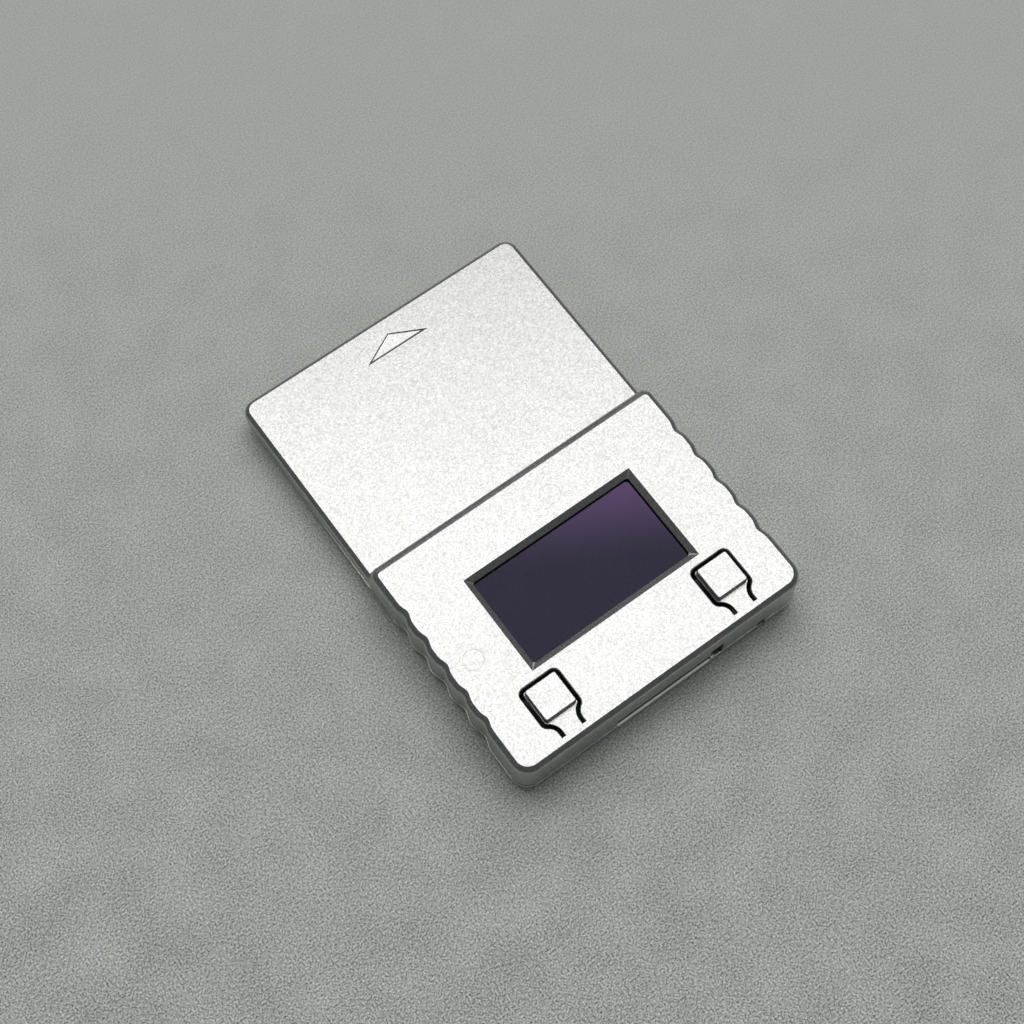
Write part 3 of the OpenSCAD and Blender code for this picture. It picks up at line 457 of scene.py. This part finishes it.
def arrow_solid(s):
    """Arrow recess: a triangle whose floor rises from the straight edge to the tip, where it
    has a lesser share of the depth. The wall at the straight edge leans back by d, and the
    other two by d / 3: half width w + (c d + d / 3) / k with (k, c) across the slanting
    edge."""
    tip_share = 0.6
    base, tip = FRONT - s.arrow_base, FRONT - s.arrow_tip
    d = np.array([-s.arrow_lean, 0.0, 0.0])
    up = np.array([-s.arrow_depth, 0.0, PAST])
    side = math.hypot(tip - base, s.arrow_half)
    k, c = (tip - base) / side, s.arrow_half / side
    wide = s.arrow_half + (c * d + d / 3) / k
    x = np.stack([-wide, wide, 0 * d], -1)
    y = np.stack([base - d, base - d, tip + d / (3 * c)], -1)
    z = s.tongue_height + np.stack([up, up, np.where(up < 0, tip_share * up, up)], -1)
    return loft(np.stack([x, y, z], -1))


def mouth_solid(s):
    """Card mouth: a stepped profile pushed across, low through the skin and taller behind."""
    base, deep = s.parting_height - OVER, REAR + s.wall + OVER
    low, high = s.parting_height + s.opening_height, s.parting_height + s.mouth_height
    skin = REAR + s.mouth_skin
    y = np.array([REAR - OVER, REAR - OVER, skin, skin, deep, deep])
    z = np.array([base, low, low, high, high, base])
    return pushed(y, z, (s.mouth_left, s.mouth_right))


def tray_solid(s, nose):
    """Lower shell's outer skin: a rolled foot, upright sides and a half-round rim that stands
    out at the parting plane. Ahead of the grip the rim ends flush with the insertion part."""
    low, r = s.parting_height - s.rim_height, s.rim_height / 2
    a = np.radians(np.linspace(0, 90, 7))
    b = np.radians(np.linspace(-66, 66, 9))
    z = np.concatenate([s.foot_radius * (1 - np.cos(a)), [low - 0.05 * MM],
                        low + r + r * np.sin(b), [s.parting_height]])
    inset = np.concatenate([s.tray_inset + s.foot_radius * (1 - np.sin(a)), [s.tray_inset],
                            -s.rim_step * np.cos(b), [HAIR]])
    front_corner = 0.3 * MM
    x, y = shell_outline(s, s.grip_width / 2, np.full(len(z), nose), s.rear_corner,
                         front_corner, inset, np.full(len(z), s.wave_depth),
                         np.ones(len(z)))
    flush = s.tongue_width / 2 - HAIR
    x = np.where(y > nose - 2 * MM, np.clip(x, -flush, flush), x)
    return loft(raise_outlines(x, y, z))


def strip_solid(s):
    """Bright strip on the mouth's lip: a five-sided profile, standing out of the rear wall
    and reaching over the lip, pushed from the mouth's left end to the notch."""
    y = REAR + np.array([-0.115, 0.1, 0.2, 0.2, -0.115]) * MM
    z = s.parting_height + np.array([-0.12, 0.24, 0.24, 0.02, -0.34]) * MM
    return pushed(y, z, (s.mouth_left + 0.05 * MM, s.mouth_right - s.notch_width - 0.1 * MM))


def drop_solid(s):
    """Drop of solder in the notch: half an ellipsoid, radius * cos u across at a height of
    rise * sin u, for u from 0 to 85 degrees."""
    radius, rise = 0.36 * MM, 0.6 * MM
    x, y = s.mouth_right - 1.45 * MM, REAR + 0.25 * MM
    a = np.linspace(0, 2 * np.pi, 24, endpoint=False)
    up = np.radians([0.0, 25.0, 50.0, 70.0, 85.0])
    across = radius * np.cos(up)[:, None]
    return loft(raise_outlines(x + across * np.cos(a), y + across * np.sin(a),
                               s.parting_height + HAIR + rise * np.sin(up)))


def nose_solid(s, start, inset, z0, z1):
    """Narrower nose under the insertion end, with rounded front corners."""
    half, front = s.tongue_width / 2 - s.nose_step - inset, FRONT - s.nose_step / 2 - inset
    r = max(s.front_corner - s.nose_step - inset, 0.2 * MM)
    a = np.radians(np.linspace(0, 90, 9))
    x = np.concatenate([[half], half - r + r * np.cos(a)])
    y = np.concatenate([[start], front - r + r * np.sin(a)])
    x, y = np.concatenate([x, -x[::-1]]), np.concatenate([y, y[::-1]])
    return loft(raise_outlines(np.stack([x, x]), np.stack([y, y]), [z0, z1]))


# Objects


def new_object(name, solid):
    """Mesh object at the origin from a (points, faces) pair, faces turned outwards."""
    mesh = bpy.data.meshes.new(name)
    mesh.from_pydata(solid[0].tolist(), [], solid[1])
    tidy = bmesh.new()
    tidy.from_mesh(mesh)
    bmesh.ops.recalc_face_normals(tidy, faces=tidy.faces)
    tidy.to_mesh(mesh)
    tidy.free()
    obj = bpy.data.objects.new(name, mesh)
    bpy.context.scene.collection.objects.link(obj)
    return obj


def combine(obj, operation, solids):
    """Joins or cuts obj by each solid in turn and keeps the result as obj's mesh."""
    helpers = []
    for solid in solids:
        helper = new_object("helper", solid)
        step = obj.modifiers.new(operation.lower(), "BOOLEAN")
        step.operation, step.solver, step.object = operation, "EXACT", helper
        helpers.append(helper)
    graph = bpy.context.evaluated_depsgraph_get()
    made = bpy.data.meshes.new_from_object(obj.evaluated_get(graph))
    obj.modifiers.clear()
    old, obj.data = obj.data, made
    name = old.name
    bpy.data.meshes.remove(old)
    made.name = name
    for helper in helpers:
        mesh = helper.data
        bpy.data.objects.remove(helper)
        bpy.data.meshes.remove(mesh)


def smooth(obj, angle=24.0):
    """Smooth shading with sharp edges kept and flat faces kept flat."""
    obj.data.shade_smooth()
    obj.data.set_sharp_from_angle(angle=math.radians(angle))
    even = obj.modifiers.new("even_shading", "WEIGHTED_NORMAL")
    even.keep_sharp = True


def dress(obj, material):
    """One material on the whole object."""
    obj.data.materials.clear()
    obj.data.materials.append(material)


# Materials


def node(tree, kind, values=None, links=None, **settings):
    """New node with its settings, its socket values and the sockets that feed it."""
    made = tree.nodes.new(kind)
    for key, value in settings.items():
        setattr(made, key, value)
    for key, value in (values or {}).items():
        made.inputs[key].default_value = value
    for key, source in (links or {}).items():
        tree.links.new(source, made.inputs[key])
    return made


def feed(tree, kind, operation, values):
    """New node of a kind that has an operation, fed by the given sockets and numbers."""
    made = tree.nodes.new(kind)
    made.operation = operation
    for socket, value in zip(made.inputs, values):
        if isinstance(value, bpy.types.NodeSocket):
            tree.links.new(value, socket)
        else:
            socket.default_value = value
    return made


def calc(tree, operation, *values):
    """Output of a new math node."""
    return feed(tree, "ShaderNodeMath", operation, values).outputs[0]


def vector(tree, operation, *values):
    """Output of a new vector math node: a number for a distance, product or length."""
    number = operation in ("DISTANCE", "DOT_PRODUCT", "LENGTH")
    made = feed(tree, "ShaderNodeVectorMath", operation, values)
    return made.outputs["Value" if number else "Vector"]


def object_place(tree):
    """The point's place in the object's own frame."""
    return node(tree, "ShaderNodeTexCoord").outputs["Object"]


def effect_group(name, *own):
    """New shader node group with the sockets that both effects have and its own numbers, and
    its input and output nodes."""
    tree = bpy.data.node_groups.new(name, "ShaderNodeTree")
    for way, sockets in (("INPUT", ("Color", "Roughness", "Contrast", "Roughness Spread", *own)),
                         ("OUTPUT", ("Color", "Roughness", "Height"))):
        for socket in sockets:
            kind = "NodeSocketColor" if socket == "Color" else "NodeSocketFloat"
            tree.interface.new_socket(socket, in_out=way, socket_type=kind)
    return tree, tree.nodes.new("NodeGroupInput"), tree.nodes.new("NodeGroupOutput")


def vary(tree, start, end, tone_by, rough_by, height):
    """Colour * (1 + contrast * tone_by), roughness + spread * rough_by, and the height."""
    given = start.outputs
    bright = calc(tree, "MULTIPLY_ADD", tone_by, given["Contrast"], 1.0)
    tone = vector(tree, "MULTIPLY", given["Color"], bright)
    rough = calc(tree, "MULTIPLY_ADD", rough_by, given["Roughness Spread"],
                 given["Roughness"])
    tree.links.new(tone, end.inputs["Color"])
    tree.links.new(rough, end.inputs["Roughness"])
    tree.links.new(height, end.inputs["Height"])


def grain_group():
    """Grain: colour and roughness vary with one fine and one broad noise, and the fine noise
    is also the height of the bump."""
    tree, start, end = effect_group("Grain", "Size", "Cloud")
    place = object_place(tree)
    fine = node(tree, "ShaderNodeTexNoise", {"Detail": 2.0, "Roughness": 0.6},
                {"Vector": place, "Scale": start.outputs["Size"]}).outputs["Fac"]
    broad = node(tree, "ShaderNodeTexNoise", {"Scale": 160.0, "Detail": 3.0},
                 {"Vector": place}).outputs["Fac"]
    centred = calc(tree, "MULTIPLY_ADD", calc(tree, "SUBTRACT", broad, 0.5),
                   start.outputs["Cloud"], calc(tree, "SUBTRACT", fine, 0.5))
    vary(tree, start, end, centred, centred, fine)
    return tree


def flake_group():
    """Flake paint: each cell of a fine pattern has its own brightness and height, over a soft
    orange peel."""
    tree, start, end = effect_group("Flake paint", "Size")
    place = object_place(tree)
    cells = node(tree, "ShaderNodeTexVoronoi", {"Randomness": 1.0},
                 {"Vector": place, "Scale": start.outputs["Size"]})
    chance = node(tree, "ShaderNodeSeparateColor", {}, {"Color": cells.outputs["Color"]})
    soft = node(tree, "ShaderNodeTexNoise", {"Scale": 2600.0, "Detail": 2.0},
                {"Vector": place})
    broad = node(tree, "ShaderNodeTexNoise", {"Scale": 90.0, "Detail": 2.0},
                 {"Vector": place})
    mixed = calc(tree, "ADD", chance.outputs[0], soft.outputs["Fac"])
    vary(tree, start, end, calc(tree, "SUBTRACT", mixed, 1.0), broad.outputs["Fac"], mixed)
    return tree


EFFECTS = {"Grain": grain_group, "Flake paint": flake_group}


def material(name, tone, rough, metal=0.0, size=4000.0, contrast=0.1, spread=0.1,
             bump=0.1, depth=0.00001, effect="Grain", cloud=0.5, **constants):
    """Material from a shared effect: its colour, roughness and height feed the surface. An
    effect is built the first time that a material asks for it."""
    made = bpy.data.materials.get(name)
    if made:
        return made
    made = bpy.data.materials.new(name)
    made.use_nodes = True
    tree = made.node_tree
    surface = tree.nodes["Principled BSDF"]
    surface.inputs["Metallic"].default_value = metal
    for key, value in constants.items():
        surface.inputs[key.replace("_", " ")].default_value = value
    grain = tree.nodes.new("ShaderNodeGroup")
    grain.name = "effect"
    grain.node_tree = bpy.data.node_groups.get(effect) or EFFECTS[effect]()
    values = {"Color": (*tone, 1.0), "Roughness": rough, "Size": size, "Cloud": cloud,
              "Contrast": contrast, "Roughness Spread": spread}
    for socket in grain.inputs:
        socket.default_value = values[socket.name]
    relief = node(tree, "ShaderNodeBump", {"Strength": bump, "Distance": depth},
                  {"Height": grain.outputs["Height"]})
    tree.links.new(grain.outputs["Color"], surface.inputs["Base Color"])
    tree.links.new(grain.outputs["Roughness"], surface.inputs["Roughness"])
    tree.links.new(relief.outputs["Normal"], surface.inputs["Normal"])
    return made


# Plain finishes: colour, roughness, metal, grain size, contrast, roughness spread, bump and,
# where it isn't 0.01 mm, the bump's distance
PLAIN = {
    "chip_plastic": ((0.018, 0.018, 0.020), 0.55, 0.0, 5000.0, 0.35, 0.10, 0.25),
    "switch_plastic": ((0.022, 0.022, 0.024), 0.42, 0.0, 3800.0, 0.20, 0.08, 0.10),
    "bright_steel": ((0.62, 0.62, 0.63), 0.30, 1.0, 2600.0, 0.12, 0.12, 0.08),
    # Painted shade: the switch covers' steel is darkened to stand for the shade seen through the
    # button slots
    "dull_steel": ((0.06, 0.06, 0.062), 0.50, 0.9, 2600.0, 0.12, 0.12, 0.08),
    "zinc_plate": ((0.42, 0.42, 0.43), 0.34, 1.0, 2400.0, 0.15, 0.10, 0.10),
    "nickel_edge": ((0.86, 0.87, 0.85), 0.25, 1.0, 3000.0, 0.30, 0.10, 0.10),
    "gold_plate": ((0.76, 0.52, 0.18), 0.25, 1.0, 3000.0, 0.10, 0.08, 0.05),
    "solder": ((0.93, 0.93, 0.91), 0.30, 1.0, 2600.0, 0.20, 0.10, 0.10),
    "ceramic": ((0.34, 0.20, 0.09), 0.50, 0.0, 4200.0, 0.25, 0.10, 0.10),
    "flex_film": ((0.36, 0.15, 0.03), 0.28, 0.0, 3000.0, 0.12, 0.05, 0.05),
    "foam": ((0.014, 0.014, 0.016), 0.90, 0.0, 3500.0, 0.60, 0.10, 0.80, 0.00006),
}
# Which CAD nodes inside the card have which plain finish
INSIDE = {
    "chip_plastic": ("controller_chip", "memory_chip", "logic_chip", "voltage_regulator",
                     "resistors"),
    "switch_plastic": ("left_switch_body", "right_switch_body", "left_switch_plunger",
                       "right_switch_plunger", "reader_base"),
    "bright_steel": ("reader_cover", "clock_crystal"),
    # Switch covers get the steel darkened as painted shade for the button slots
    "dull_steel": ("left_switch_cover", "right_switch_cover"),
    "gold_plate": ("edge_contacts", "reader_contacts"),
    "ceramic": ("capacitors",),
    "zinc_plate": ("left_screw", "right_screw"),
}


def plain(name):
    """The plain finish of that name."""
    return material(name, *PLAIN[name])


def silver_paint(finish):
    """Satin metallic paint with fine flake, and faint rings on the roof where the mould's
    pins stood: darker where the distance to a pin's middle is near its radius."""
    made = material("silver_paint", finish.silver, rough=0.24, metal=0.85, size=7400.0,
                    contrast=0.42, spread=0.06, bump=0.16, depth=0.00003,
                    effect="Flake paint")
    tree = made.node_tree
    if "rings" in tree.nodes:
        return made
    s = bpy.context.scene.card_shape
    place = object_place(tree)
    tone = tree.nodes["effect"].outputs["Color"]
    line = 0.09 * MM
    for x, y in (PIN_MARK, (-s.screw_offset, REAR + s.screw_from_rear)):
        away = vector(tree, "DISTANCE", place, (x, y, s.grip_height))
        shade = node(tree, "ShaderNodeMapRange", {"To Min": 1.0, "To Max": 0.84},
                     {"Value": calc(tree, "COMPARE", away, s.pin_radius, line)})
        shade.name = "rings"
        tone = vector(tree, "MULTIPLY", tone, shade.outputs[0])
    tree.links.new(tone, tree.nodes["Principled BSDF"].inputs["Base Color"])
    return made


def display_face(finish):
    """Dark polariser film: a painted violet reflection grows along one diagonal, under a smooth
    gloss. At the window's front and right foot, painted black shade stands for the gap's shadow,
    with a round corner, where (max(x - cx, 0), max(y - cy, 0)) is longer than the corner's
    radius."""
    made = material("display_face", finish.violet, rough=0.16, size=7000.0, contrast=1.8,
                    spread=0.02, bump=0.03, depth=0.000004, cloud=0.2, IOR=1.2)
    tree = made.node_tree
    surface, grain = tree.nodes["Principled BSDF"], tree.nodes["effect"]
    if "tint" in tree.nodes:
        return made
    place = object_place(tree)
    s = bpy.context.scene.card_shape
    middle_y = REAR + s.window_from_rear
    from_middle = vector(tree, "SUBTRACT", place, (0.0, middle_y, 0.0))
    # Painted reflection: the violet reflection is mixed into the film's colour along one
    # diagonal
    reflection_ramp = node(tree, "ShaderNodeMapRange", {"From Min": 0.0, "From Max": 0.9},
                {"Value": vector(tree, "DOT_PRODUCT", from_middle, REFLECTION_WAY)},
                interpolation_type="SMOOTHSTEP")
    tint = node(tree, "ShaderNodeMix", {"B": (*finish.painted_reflection, 1.0)},
                {"Factor": reflection_ramp.outputs[0], "A": grain.outputs["Color"]}, data_type="RGBA")
    tint.name = "tint"
    # Painted shadow: the film's colour goes black and its roughness goes to 1 along the window's
    # front and right foot, where the gap is in shade
    inset = s.window_bevel + s.gap_shadow + s.display_corner
    corner = (s.window_width / 2 - inset, middle_y + s.window_length / 2 - inset, 0.0)
    beyond = vector(tree, "SUBTRACT", place, corner)
    ahead = vector(tree, "MAXIMUM", beyond, (0.0, 0.0, 0.0))
    reach = vector(tree, "LENGTH", vector(tree, "MULTIPLY", ahead, (1.0, 1.0, 0.0)))
    blur = 0.03 * MM
    gap = node(tree, "ShaderNodeMapRange",
               {"From Min": s.display_corner - blur, "From Max": s.display_corner + blur},
               {"Value": reach})
    dark = node(tree, "ShaderNodeMix", {"B": (0.0005, 0.0005, 0.0005, 1.0)},
                {"Factor": gap.outputs[0], "A": tint.outputs["Result"]}, data_type="RGBA")
    dull = node(tree, "ShaderNodeMix", {"B": 1.0},
                {"Factor": gap.outputs[0], "A": grain.outputs["Roughness"]},
                data_type="FLOAT")
    tree.links.new(dark.outputs["Result"], surface.inputs["Base Color"])
    tree.links.new(dull.outputs["Result"], surface.inputs["Roughness"])
    return made


def floor_sheet(finish):
    """Matt sheet whose grain is stronger near the viewer than far away."""
    made = material("floor_sheet", finish.floor, rough=0.8, size=4200.0, contrast=1.0,
                    bump=0.3, depth=0.00006, cloud=0.12)
    tree = made.node_tree
    fade = node(tree, "ShaderNodeMapRange",
                {"From Min": -0.06, "From Max": 0.06, "To Min": 4.0, "To Max": 0.8},
                {"Value": vector(tree, "DOT_PRODUCT", object_place(tree), VIEW_WAY)})
    tree.links.new(fade.outputs[0], tree.nodes["effect"].inputs["Contrast"])
    return made


# Pieces that stand for CAD nodes


def paint(obj, context):
    """Shading and silver paint of a moulding."""
    smooth(obj)
    dress(obj, silver_paint(context.scene.card_finish))


class BuildUpperShell(bpy.types.Operator):
    """Upper shell with its step, window, button openings, arrow recess and card mouth"""

    bl_idname = "memory_card.upper_shell"
    bl_label = "Upper shell"

    def execute(self, context):
        s = context.scene.card_shape
        obj = new_object("upper_shell_moulding", grip_solid(s))
        combine(obj, "UNION", [tongue_solid(s)])
        screw_y = REAR + s.screw_from_rear
        roof = s.grip_height - s.roof
        low, room = s.parting_height - OVER, s.glass_clearance
        pocket = block(GLASS_LOW.x - room, GLASS_HIGH.x + room, GLASS_LOW.y - room,
                       GLASS_HIGH.y + room, roof - 0.5 * MM, FACE_TOP)
        notch = block(s.mouth_right - s.notch_width, s.mouth_right, REAR - OVER,
                      REAR + s.wall + OVER, low, s.parting_height + s.notch_height)
        slit = block(s.slit_left, s.slit_right, REAR - OVER, REAR + OVER, low,
                     s.parting_height + s.slit_rise)
        combine(obj, "DIFFERENCE", [
            hollow_solid(s), pocket, window_solid(s, FACE_TOP),
            together([key_hole(s, -1), key_hole(s, 1), arrow_solid(s), mouth_solid(s), slit]),
            notch])
        combine(obj, "UNION", [together([
            post(side * s.screw_offset, screw_y, s.boss_radius, BOARD_HIGH.z,
                 roof + PAST) for side in (-1, 1)])])
        paint(obj, context)
        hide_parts("upper_shell")
        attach(obj, "card")
        return {"FINISHED"}


class BuildLowerShell(bpy.types.Operator):
    """Lower shell with its rim, contact comb, screw recesses and label recess"""

    bl_idname = "memory_card.lower_shell"
    bl_label = "Lower shell"

    def execute(self, context):
        s = context.scene.card_shape
        nose = FRONT - s.nose_length
        beside_board = 0.1 * MM
        half = inner_half(s)
        step = s.tongue_width / 2 - s.nose_step - BOARD_HIGH.x - beside_board
        rear = REAR + s.wall
        top = s.parting_height
        over_top = top + OVER
        obj = new_object("lower_shell_moulding", tray_solid(s, nose))
        combine(obj, "DIFFERENCE", [
            block(-half, half, rear, nose - OVER, s.floor, over_top)])
        combine(obj, "UNION", [nose_solid(s, nose - OVER, 0.0, 0.0, top)])
        comb = [block(x0, x1, CONTACTS_REAR - PAST, FRONT + OVER, -OVER, BOARD_LOW.z)
                for x0, x1 in self.gaps(s)]
        screws = [(side * s.screw_offset, REAR + s.screw_from_rear) for side in (-1, 1)]
        label = block(-s.label_half, s.label_half, REAR + s.label_start, REAR + s.label_end,
                      -OVER, s.label_depth)
        mouth = block(s.mouth_left, s.mouth_right, REAR + s.mouth_lip,
                      REAR + s.mouth_lip + s.wall + OVER, s.floor, over_top)
        slit = block(s.slit_left, s.slit_right, REAR - OVER, REAR + s.slit_depth,
                     top - s.slit_drop, over_top)
        combine(obj, "DIFFERENCE", [
            nose_solid(s, rear + 5 * MM, step, s.floor, over_top),
            together(comb),
            together([post(x, y, s.screw_recess, -OVER, s.recess_depth) for x, y in screws]),
            together([post(x, y, s.screw_hole, -OVER, s.floor + OVER) for x, y in screws]
                     + [label, mouth, slit])])
        paint(obj, context)
        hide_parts("lower_shell")
        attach(obj, "card")
        return {"FINISHED"}

    def gaps(self, s):
        """Left and right side of each gap in the comb: groups of three, two and three."""
        k = np.arange(8)
        apart = np.where(k < 3, -s.comb_space, np.where(k > 4, s.comb_space, 0.0))
        x = (k - 3.5) * s.comb_pitch + apart
        return np.stack([x - s.comb_half, x + s.comb_half], -1)


class BuildButtons(bpy.types.Operator):
    """Two buttons: raised pads on tongues whose necks flex"""

    bl_idname = "memory_card.buttons"
    bl_label = "Buttons"

    def execute(self, context):
        s = context.scene.card_shape
        for side, name in ((-1, "left"), (1, "right")):
            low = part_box(f"{name}_button")[0]
            x0, y0 = side * s.button_offset, REAR + s.button_from_rear
            rise, run = eased(s.key_edge, 3)
            z = np.concatenate([[s.grip_height - s.key_thickness],
                                s.grip_height - rise[-1] + rise])
            x, y = key_outline(s, np.concatenate([[-s.key_draft], -run]), s.key_reach)
            obj = new_object(f"{name}_button_moulding",
                             loft(raise_outlines(x + x0, y + y0, z)))
            combine(obj, "UNION", [self.pad(s, x0, y0),
                                   post(x0, y0, s.post_radius, low.z,
                                        s.grip_height - s.key_thickness / 2)])
            paint(obj, context)
            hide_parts(f"{name}_button")
            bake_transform(obj)
        return {"FINISHED"}

    def pad(self, s, x, y):
        """Raised pad: drafted walls and an eased top edge."""
        rise, run = eased(s.pad_edge, 4)
        half, top = s.pad_side / 2, s.grip_height + s.pad_rise
        z = np.concatenate([[s.grip_height - s.key_thickness / 2, s.grip_height],
                            top - rise[-1] + rise])
        out = np.concatenate([[s.pad_draft + HAIR, s.pad_draft], -run])
        xs, ys = rectangle(half + out, half + out, s.pad_corner + out, x, y)
        return loft(raise_outlines(xs, ys, z))


class DressDisplay(bpy.types.Operator):
    """Display face, glass, flex tail and cushion"""

    bl_idname = "memory_card.display"
    bl_label = "Display"

    def execute(self, context):
        finish = context.scene.card_finish
        glass = material("display_glass", (0.62, 0.66, 0.70), rough=0.05, size=2000.0,
                         contrast=0.03, spread=0.01, bump=0.01, depth=0.000002,
                         Transmission_Weight=0.9, IOR=1.5)
        finishes = {
            "display_polariser": display_face(finish), "display_glass": glass,
            "display_cap": glass, "display_driver": plain("chip_plastic"),
            "display_flex": plain("flex_film"), "display_cushion": plain("foam"),
        }
        for name, made in finishes.items():
            dress(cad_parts[name], made)
        return {"FINISHED"}


class DressInside(bpy.types.Operator):
    """Board, chips, switches, card reader, contacts and screws"""

    bl_idname = "memory_card.inside"
    bl_label = "Inside parts"

    def execute(self, context):
        board = context.scene.card_finish.board
        dress(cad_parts["main_board"],
              material("solder_mask", board, rough=0.32, size=1800.0, contrast=0.25,
                       spread=0.08, bump=0.15))
        for name, pieces in INSIDE.items():
            for piece in pieces:
                dress(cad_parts[piece], plain(name))
        return {"FINISHED"}


class BuildMouthDetails(bpy.types.Operator):
    """Bright strip along the card mouth's lip, and a drop of solder in its notch"""

    bl_idname = "memory_card.mouth_details"
    bl_label = "Mouth details"

    def execute(self, context):
        s = context.scene.card_shape
        strip = new_object("mouth_strip", strip_solid(s))
        drop = new_object("solder_drop", drop_solid(s))
        smooth(drop)
        for obj, finish in ((strip, "nickel_edge"), (drop, "solder")):
            dress(obj, plain(finish))
            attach(obj, "card")
        return {"FINISHED"}


class SetStage(bpy.types.Operator):
    """Floor, camera, two lamps and room light"""

    bl_idname = "memory_card.stage"
    bl_label = "Stage"

    def execute(self, context):
        scene, stage = context.scene, context.scene.card_stage
        corners = FLOOR_REACH * np.array([[-1, -1, 0], [1, -1, 0], [1, 1, 0], [-1, 1, 0]])
        floor = new_object("floor", (corners, [[0, 1, 2, 3]]))
        dress(floor, floor_sheet(scene.card_finish))

        camera = bpy.data.objects.new("photo_camera", bpy.data.cameras.new("photo_camera"))
        scene.collection.objects.link(camera)
        camera.data.lens, camera.data.sensor_width = stage.lens, SENSOR_WIDTH
        camera.data.clip_start, camera.data.clip_end = 0.005, 20.0
        aim_at(camera, CAMERA_PLACE, CAMERA_PLACE + CAMERA_AIM * CAMERA_REACH)
        scene.camera = camera

        for name, width, depth, power, elevation, distance in LAMPS:
            lamp = bpy.data.lights.new(name, "AREA")
            lamp.shape, lamp.size, lamp.size_y = "RECTANGLE", width, depth
            lamp.energy = getattr(stage, power)
            lamp_object = bpy.data.objects.new(name, lamp)
            scene.collection.objects.link(lamp_object)
            up = math.radians(elevation)
            aim_at(lamp_object, distance * np.array(
                [*(way * math.cos(up) for way in LAMP_WAY), math.sin(up)]), np.zeros(3))

        world = scene.world or bpy.data.worlds.new("room")
        scene.world = world
        world.use_nodes = True
        tree = world.node_tree
        background = tree.nodes["Background"]
        background.inputs["Color"].default_value = ROOM_COLOUR
        path = tree.nodes.new("ShaderNodeLightPath")
        strength = node(tree, "ShaderNodeMapRange",
                        {"To Min": stage.room, "To Max": stage.room_gloss},
                        {"Value": path.outputs["Is Glossy Ray"]})
        tree.links.new(strength.outputs[0], background.inputs["Strength"])
        scene.view_settings.view_transform = "Standard"
        return {"FINISHED"}


def aim_at(obj, place, target):
    """Puts obj at a place with its -Z axis pointing at the target."""
    obj.location = Vector(place)
    obj.rotation_mode = "QUATERNION"
    obj.rotation_quaternion = (Vector(target) - Vector(place)).to_track_quat("-Z", "Y")


class CardPanel(bpy.types.Panel):
    """Lists the card's pieces and its stage"""

    bl_label = "Memory card"
    bl_idname = "VIEW3D_PT_memory_card"
    bl_space_type = "VIEW_3D"
    bl_region_type = "UI"
    bl_category = "Memory card"

    def draw(self, context):
        for operator in OPERATORS:
            self.layout.operator(operator.bl_idname)
        for owner in GROUPS:
            group_of = getattr(context.scene, owner)
            box = self.layout.box()
            for name in group_of.__annotations__:
                box.prop(group_of, name)


OPERATORS = (BuildUpperShell, BuildLowerShell, BuildButtons, DressDisplay, DressInside,
             BuildMouthDetails, SetStage)
GROUPS = {"card_shape": CardShape, "card_finish": CardFinish, "card_stage": CardStage}


def register():
    for cls in (*GROUPS.values(), *OPERATORS, CardPanel):
        bpy.utils.register_class(cls)
    for name, cls in GROUPS.items():
        setattr(bpy.types.Scene, name, bpy.props.PointerProperty(type=cls))


def unregister():
    for name in GROUPS:
        delattr(bpy.types.Scene, name)
    for cls in reversed((*GROUPS.values(), *OPERATORS, CardPanel)):
        bpy.utils.unregister_class(cls)


def main():
    register()
    bpy.ops.memory_card.upper_shell()
    bpy.ops.memory_card.lower_shell()
    bpy.ops.memory_card.buttons()
    bpy.ops.memory_card.display()
    bpy.ops.memory_card.inside()
    bpy.ops.memory_card.mouth_details()
    bpy.ops.memory_card.stage()


if __name__ == "__main__":
    main()
